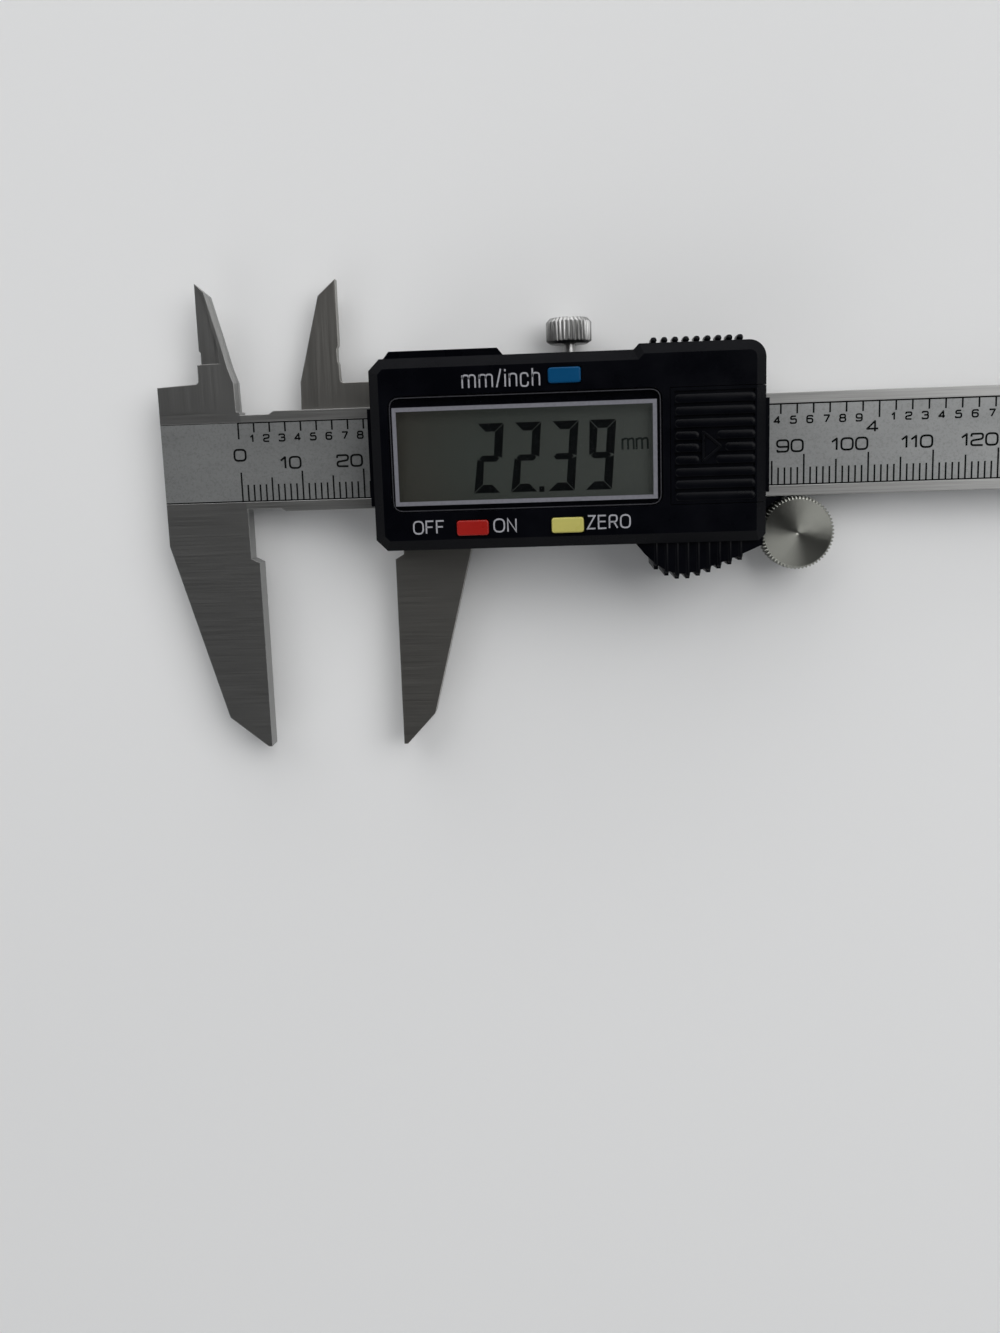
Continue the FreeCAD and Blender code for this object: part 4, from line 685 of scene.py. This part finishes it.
# Each letter as lines, where 1 is the height of a capital, each open or closed and with the
# softness of its corners, then the letter's width.
LETTERS = {
    "m": ([([(0, 0), (0, 0.73)], False, 0),
           ([(0, 0.5), (0.05, 0.73), (0.40, 0.73), (0.40, 0)], False, 0.18),
           ([(0.40, 0.5), (0.45, 0.73), (0.80, 0.73), (0.80, 0)], False, 0.18)], 0.80),
    "n": ([([(0, 0), (0, 0.73)], False, 0),
           ([(0, 0.5), (0.05, 0.73), (0.43, 0.73), (0.43, 0)], False, 0.2)], 0.43),
    "h": ([([(0, 0), (0, 1)], False, 0),
           ([(0, 0.5), (0.05, 0.73), (0.43, 0.73), (0.43, 0)], False, 0.2)], 0.43),
    "i": ([([(0, 0), (0, 0.73)], False, 0), ([(0, 0.87), (0, 1)], False, 0)], 0.0),
    "c": ([([(0.45, 0.52), (0.40, 0.74), (0, 0.74), (0, -0.01), (0.41, -0.01), (0.46, 0.24)],
            False, 0.24)], 0.46),
    "/": ([([(0, -0.02), (0.27, 1.03)], False, 0)], 0.27),
    "O": ([([(0, 0), (0.78, 0), (0.78, 1), (0, 1)], True, 0.42)], 0.78),
    "F": ([([(0, 0), (0, 1), (0.6, 1)], False, 0), ([(0, 0.52), (0.52, 0.52)], False, 0)], 0.6),
    "N": ([([(0, 0), (0, 1), (0.62, 0), (0.62, 1)], False, 0)], 0.62),
    "Z": ([([(0.03, 1), (0.62, 1), (0, 0), (0.65, 0)], False, 0)], 0.65),
    "E": ([([(0.62, 1), (0, 1), (0, 0), (0.64, 0)], False, 0),
           ([(0, 0.53), (0.58, 0.53)], False, 0)], 0.64),
    "R": ([([(0, 0), (0, 1), (0.62, 1), (0.62, 0.49), (0, 0.49)], False, 0.2),
           ([(0.36, 0.49), (0.67, 0)], False, 0)], 0.67),
}


def lettering(name, words, left, right, base, top):
    """Printed words that fill a box, in millimetres on the housing's face. The gap between
    letters is a share of a capital's height, as their widths are."""
    line, gap = 0.23, 0.27
    tall = top - base - line
    spread = sum(LETTERS[letter][1] for letter in words) + gap * (len(words) - 1)
    wide = (right - left - line) / spread
    shape = bmesh.new()
    start = left + line / 2
    for letter in words:
        strokes, share = LETTERS[letter]
        for points, closed, soft in strokes:
            placed = [Vector(on_face(start + x * wide, base + line / 2 + y * tall))
                      for x, y in points]
            ribbon(shape, softened(placed, soft * tall * MM, closed), line * MM,
                   CASE[1].z - SUNK, CASE[1].z + 0.014 * MM, closed)
        start += (share + gap) * wide
    keep(name, shape, INK_WHITE, "slider")


lettering("print_mm_inch", "mm/inch", 11.34, 23.15, 9.5, 12.28)
lettering("print_off", "OFF", 3.05, 7.92, -12.08, -9.97)
lettering("print_on", "ON", 15.4, 18.98, -12.12, -9.97)
lettering("print_zero", "ZERO", 29.66, 36.34, -12.05, -9.9)

# ---------------------------------------------------------------- grip ribs

def lozenge(shape, start, end, radius):
    """A rounded bar between two points, with domed ends."""
    way = (end - start).normalized()
    first = way.orthogonal().normalized()
    second = way.cross(first)
    rings = []
    around, dome = 16, 5
    for k in range(2 * dome + 2):
        at_start = k <= dome
        angle = math.pi / 2 * ((k - dome) if at_start else (k - dome - 1)) / dome
        centre = (start if at_start else end) + way * (radius * math.sin(angle))
        reach = radius * math.cos(angle)
        if reach < 1e-9:
            rings.append([shape.verts.new(centre)])
            continue
        rings.append([shape.verts.new(centre + first * (reach * math.cos(2 * math.pi * i / around))
                                      + second * (reach * math.sin(2 * math.pi * i / around)))
                      for i in range(around)])
    for one, two in zip(rings, rings[1:]):
        for i in range(around):
            j = (i + 1) % around
            if len(one) == 1:
                shape.faces.new((one[0], two[i], two[j]))
            elif len(two) == 1:
                shape.faces.new((one[i], two[0], one[j]))
            else:
                shape.faces.new((one[i], two[i], two[j], one[j]))


RIB_PITCH = 1.61 * MM
RIB_LAST = CASE[1].x - 3.72 * MM
CROWN_RADIUS, THUMB_RADIUS = 0.48 * MM, 0.4 * MM
CROWN_TOP = CASE[1].y - 0.40 * MM
# How far in from the housing's lowest point each rib of the thumb rest lies, left to right.
THUMB_INSET = (1.8, 0.6, 0.0, 0.0, 0.3, 0.9, 1.4, 2.0, 2.6)
THUMB_FACE, THUMB_ROOT = CASE[1].z - 2.56 * MM, CASE[0].y + 5.6 * MM
crown = bmesh.new()
thumb = bmesh.new()
for count, inset in enumerate(THUMB_INSET):
    along = RIB_LAST - (len(THUMB_INSET) - 1 - count) * RIB_PITCH
    lozenge(crown, Vector((along, CROWN_TOP, CASE[1].z - 5.8 * MM)),
            Vector((along, CROWN_TOP, CASE[1].z - 3.0 * MM)), CROWN_RADIUS)
    low = CASE[0].y + (inset + 0.42) * MM
    lozenge(thumb, Vector((along, low, CASE[0].z + 0.8 * MM)),
            Vector((along, low, CASE[1].z - 3.1 * MM)), THUMB_RADIUS)
    lozenge(thumb, Vector((along, low + 0.3 * MM, THUMB_FACE)),
            Vector((along, THUMB_ROOT, THUMB_FACE)), THUMB_RADIUS)
keep("crown_grip_ribs", crown, RIBBED, "slider")
keep("thumb_rest_ribs", thumb, RIBBED, "slider")

# ---------------------------------------------------------------- battery cover's ridges

def ridge(shape, left, right, middle, half, level, rise):
    """A long rounded ridge on a flat face, with rounded ends."""
    across, along = 10, 5
    rings = []
    for k in range(2 * along + 2):
        at_left = k <= along
        turn = math.pi / 2 * ((along - k) if at_left else (k - along - 1)) / along
        centre = left + half if at_left else right - half
        place = centre + (-1 if at_left else 1) * half * math.sin(turn)
        reach = half * math.cos(turn)
        ring = []
        for i in range(across + 1):
            angle = math.pi * i / across
            ring.append(shape.verts.new((place, middle + reach * math.cos(angle),
                                         level + rise * math.cos(turn) * math.sin(angle))))
        rings.append(ring)
    for one, two in zip(rings, rings[1:]):
        for i in range(across):
            shape.faces.new((one[i], one[i + 1], two[i + 1], two[i]))
        shape.faces.new((one[0], two[0], two[across], one[across]))
    bmesh.ops.remove_doubles(shape, verts=shape.verts, dist=1e-7)


# Nine ridges between the grooves. The middle ones stop short of the arrow, and those on its
# right follow its slanted sides.
RIDGE_COUNT = 9
RIDGE_TOP, RIDGE_PITCH = COVER[1].y - 1.656 * MM, 1.8125 * MM
RIDGE_HALF, RIDGE_RISE = 0.66 * MM, 0.2 * MM
ARROW = Vector((COVER[0].x + 4.8 * MM, (COVER[0].y + COVER[1].y) / 2 - 0.16 * MM))
ARROW_HALF, ARROW_LONG = 2.2 * MM, 2.65 * MM
ridges = bmesh.new()
face = CASE[1].z - 0.02 * MM
left, right = COVER[0].x + 0.6 * MM, COVER[0].x + 12.6 * MM
for count in range(RIDGE_COUNT):
    middle = RIDGE_TOP - count * RIDGE_PITCH
    away = abs(middle - ARROW.y)
    if away > 2.4 * MM:
        stretches = [(left, right)]
    else:
        stretches = [(left, ARROW.x - 0.5 * MM), (ARROW.x + 3.3 * MM - 0.75 * away, right)]
    for start, end in stretches:
        ridge(ridges, start, end, middle, RIDGE_HALF, face, RIDGE_RISE)
corners = [ARROW + Vector((0, ARROW_HALF)), ARROW + Vector((ARROW_LONG, 0)),
           ARROW - Vector((0, ARROW_HALF))]
ribbon(ridges, softened(corners, 0.25 * MM, True), 0.36 * MM, face, face + 0.24 * MM, True)
keep("battery_cover_ridges", ridges, RIBBED, "battery_cover", 60)

# ---------------------------------------------------------------- turned pieces

# The roller, from the blind bore for its pin round the knurled rim to the spun face. Its
# shape is made round its own axis, and it rides again once it is in its place.
ROLLER_TEETH, ROLLER_STEPS, ROLLER_DIP = 60, 420, 0.38 * MM
BORE_RADIUS, BORE_DEPTH = 1.05 * MM, 3.5 * MM
low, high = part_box("thumb_roller")
radius = (high.x - low.x) / 2
back, front = low.z, high.z
shape = bmesh.new()
spin(shape, [(BORE_RADIUS, back + BORE_DEPTH, 0), (BORE_RADIUS, back, 0),
             (radius - 0.5 * MM, back, 0), (radius - 0.14 * MM, back + 0.32 * MM, 0.8),
             (radius, back + 0.46 * MM, 1), (radius, front - 0.46 * MM, 1),
             (radius - 0.20 * MM, front - 0.20 * MM, 0.8), (radius - 0.50 * MM, front, 0),
             (0.3 * MM, front, 0), (0.0, front - 0.12 * MM, 0)],
     ROLLER_STEPS, ROLLER_TEETH, ROLLER_DIP)
shape.faces.new([v for v in shape.verts if abs(v.co.z - back - BORE_DEPTH) < 1e-7])
roller = keep("thumb_roller_knurled", shape, SPUN, "thumb_roller", 20)
roller.location = ((low.x + high.x) / 2, (low.y + high.y) / 2, 0)
bpy.context.view_layer.update()
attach(roller, "thumb_roller")
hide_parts("thumb_roller")

# The lock screw, from the tip of its shank up to the knurled head, laid along Y.
SCREW_TEETH, SCREW_STEPS, SCREW_DIP = 30, 240, 0.36 * MM
SHANK_RADIUS, HEAD_HEIGHT = 1.02 * MM, 3.95 * MM
low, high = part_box("lock_screw")
radius = (high.x - low.x) / 2
length = high.y - low.y
head = length - HEAD_HEIGHT
shape = bmesh.new()
spin(shape, [(0.0, 0.0, 0), (0.72 * MM, 0.0, 0), (SHANK_RADIUS, 0.3 * MM, 0),
             (SHANK_RADIUS, head, 0), (radius - 0.75 * MM, head, 0),
             (radius - 0.1 * MM, head + 0.4 * MM, 0.6),
             (radius, head + 0.52 * MM, 1), (radius, length - 0.7 * MM, 1),
             (radius - 0.12 * MM, length - 0.5 * MM, 0.6), (radius - 0.62 * MM, length, 0),
             (0.0, length, 0)], SCREW_STEPS, SCREW_TEETH, SCREW_DIP)
for v in shape.verts:
    v.co = Vector((v.co.x, v.co.z, -v.co.y))
screw = keep("lock_screw_knurled", shape, FINISHES["knurled_steel"], "lock_screw",
             25)
screw.location = ((low.x + high.x) / 2, low.y, (low.z + high.z) / 2)
bpy.context.view_layer.update()
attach(screw, "lock_screw")
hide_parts("lock_screw")

# ---------------------------------------------------------------- floor, light and camera

FLOOR_HALF = 3.0
FADE_START, FADE_END = 0.4, 1.1  # metres from the object
ROOM = (0.60, 0.60, 0.605, 1)
ground = bmesh.new()
bmesh.ops.create_grid(ground, x_segments=2, y_segments=2, size=FLOOR_HALF)
data = bpy.data.meshes.new("studio_floor")
ground.to_mesh(data)
ground.free()
floor = bpy.data.objects.new("studio_floor", data)
floor.location = (0, 0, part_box("rear_plate")[0].z - 0.02 * MM)
bpy.context.scene.collection.objects.link(floor)
pale = Shader("studio_floor_look").plain(Roughness=0.9, Specular_IOR_Level=0.1)
cloud = pale.noise((3, 3, 3), 2.0)
pale.colour(pale.ramp(cloud, [(0.3, (0.82, 0.82, 0.815)), (0.7, (0.85, 0.85, 0.845))]))


def seen_only(tree):
    """1 for what the eye, metal or glass sees, 0 for what only lights the object."""
    path = tree.nodes.new("ShaderNodeLightPath")
    either = path.outputs["Is Camera Ray"]
    for kind in ("Is Glossy Ray", "Is Transmission Ray"):
        most = tree.nodes.new("ShaderNodeMath")
        most.operation = "MAXIMUM"
        tree.links.new(either, most.inputs[0])
        tree.links.new(path.outputs[kind], most.inputs[1])
        either = most.outputs["Value"]
    return either


# Far from the object the floor runs out into the pale backdrop.
away = pale.node("ShaderNodeVectorMath", operation="LENGTH")
pale.link(pale.space, away.inputs[0])
far = pale.level(away.outputs["Value"], 0.0, 1.0, FADE_START, FADE_END)
glow = pale.node("ShaderNodeEmission")
glow.inputs["Color"].default_value = ROOM
runs_out = pale.maths("MULTIPLY", far, seen_only(pale.tree))
edge = pale.node("ShaderNodeMixShader")
pale.link(runs_out, edge.inputs["Fac"])
pale.link(pale.main.outputs["BSDF"], edge.inputs[1])
pale.link(glow.outputs["Emission"], edge.inputs[2])
pale.link(edge.outputs["Shader"], pale.tree.nodes["Material Output"].inputs["Surface"])
data.materials.append(pale.made)


def softbox(name, place, target, size, power):
    """A soft lamp. Place and size are in metres, power in watts."""
    lamp = bpy.data.lights.new(name, "AREA")
    lamp.shape = "RECTANGLE"
    lamp.size, lamp.size_y = size
    lamp.energy = power
    made = bpy.data.objects.new(name, lamp)
    made.location = place
    made.rotation_euler = (Vector(target) - Vector(place)).to_track_quat("-Z", "Y").to_euler()
    bpy.context.scene.collection.objects.link(made)


softbox("left_softbox", (-0.60, 1.50, 1.05), (0, 0, 0), (2.2, 1.5), 15.8)
softbox("right_softbox", (0.80, 0.55, 1.15), (0, 0, 0), (1.4, 1.2), 13.2)
softbox("low_back_softbox", (0, 2.3, 0.42), (0, 0, 0.01), (3.0, 0.6), 10.0)
softbox("front_softbox", (-1.2, -1.5, 0.8), (0, 0, 0), (1.8, 1.5), 8.5)

# The room is pale towards its walls and dim overhead, where the softboxes are, and adds
# little light of its own. Height is the upward part of the direction looked in.
PALE_UP_TO, DIM_FROM = 0.15, 0.75
PALE, DIM = 1.0, 0.06
FILL_LIGHT = 0.19
world = bpy.data.worlds.new("studio_world")
world.use_nodes = True
tree = world.node_tree
fill = tree.nodes["Background"]
fill.inputs["Color"].default_value = (0.92, 0.95, 1.0, 1)
fill.inputs["Strength"].default_value = FILL_LIGHT
room = tree.nodes.new("ShaderNodeBackground")
room.inputs["Color"].default_value = ROOM
ways = tree.nodes.new("ShaderNodeTexCoord")
split = tree.nodes.new("ShaderNodeSeparateXYZ")
fade = tree.nodes.new("ShaderNodeMapRange")
for socket, value in (("From Min", PALE_UP_TO), ("From Max", DIM_FROM), ("To Min", PALE),
                      ("To Max", DIM)):
    fade.inputs[socket].default_value = value
tree.links.new(ways.outputs["Generated"], split.inputs["Vector"])
tree.links.new(split.outputs["Z"], fade.inputs["Value"])
tree.links.new(fade.outputs["Result"], room.inputs["Strength"])
choose = tree.nodes.new("ShaderNodeMixShader")
tree.links.new(seen_only(tree), choose.inputs["Fac"])
tree.links.new(fill.outputs["Background"], choose.inputs[1])
tree.links.new(room.outputs["Background"], choose.inputs[2])
tree.links.new(choose.outputs["Shader"], tree.nodes["World Output"].inputs["Surface"])
bpy.context.scene.world = world

# The camera looks down from above the jaws, tilted by about ten degrees.
EYE = Vector((-0.06232, 0.00922, 0.20024))
camera_data = bpy.data.cameras.new("camera")
camera_data.lens = 32.4
camera_data.sensor_width = 36.0
camera_data.clip_start = 0.01
camera = bpy.data.objects.new("camera", camera_data)
ahead = Vector((-0.0587, -0.1728, -0.9832)).normalized()
upward = Vector((0.0232, 0.9844, -0.1743))
side = ahead.cross(upward).normalized()
upward = side.cross(ahead).normalized()
turn = Matrix((side, upward, -ahead)).transposed().to_4x4()
camera.matrix_world = Matrix.Translation(EYE) @ turn
bpy.context.scene.collection.objects.link(camera)
bpy.context.scene.camera = camera

bpy.context.scene.view_settings.view_transform = "Standard"
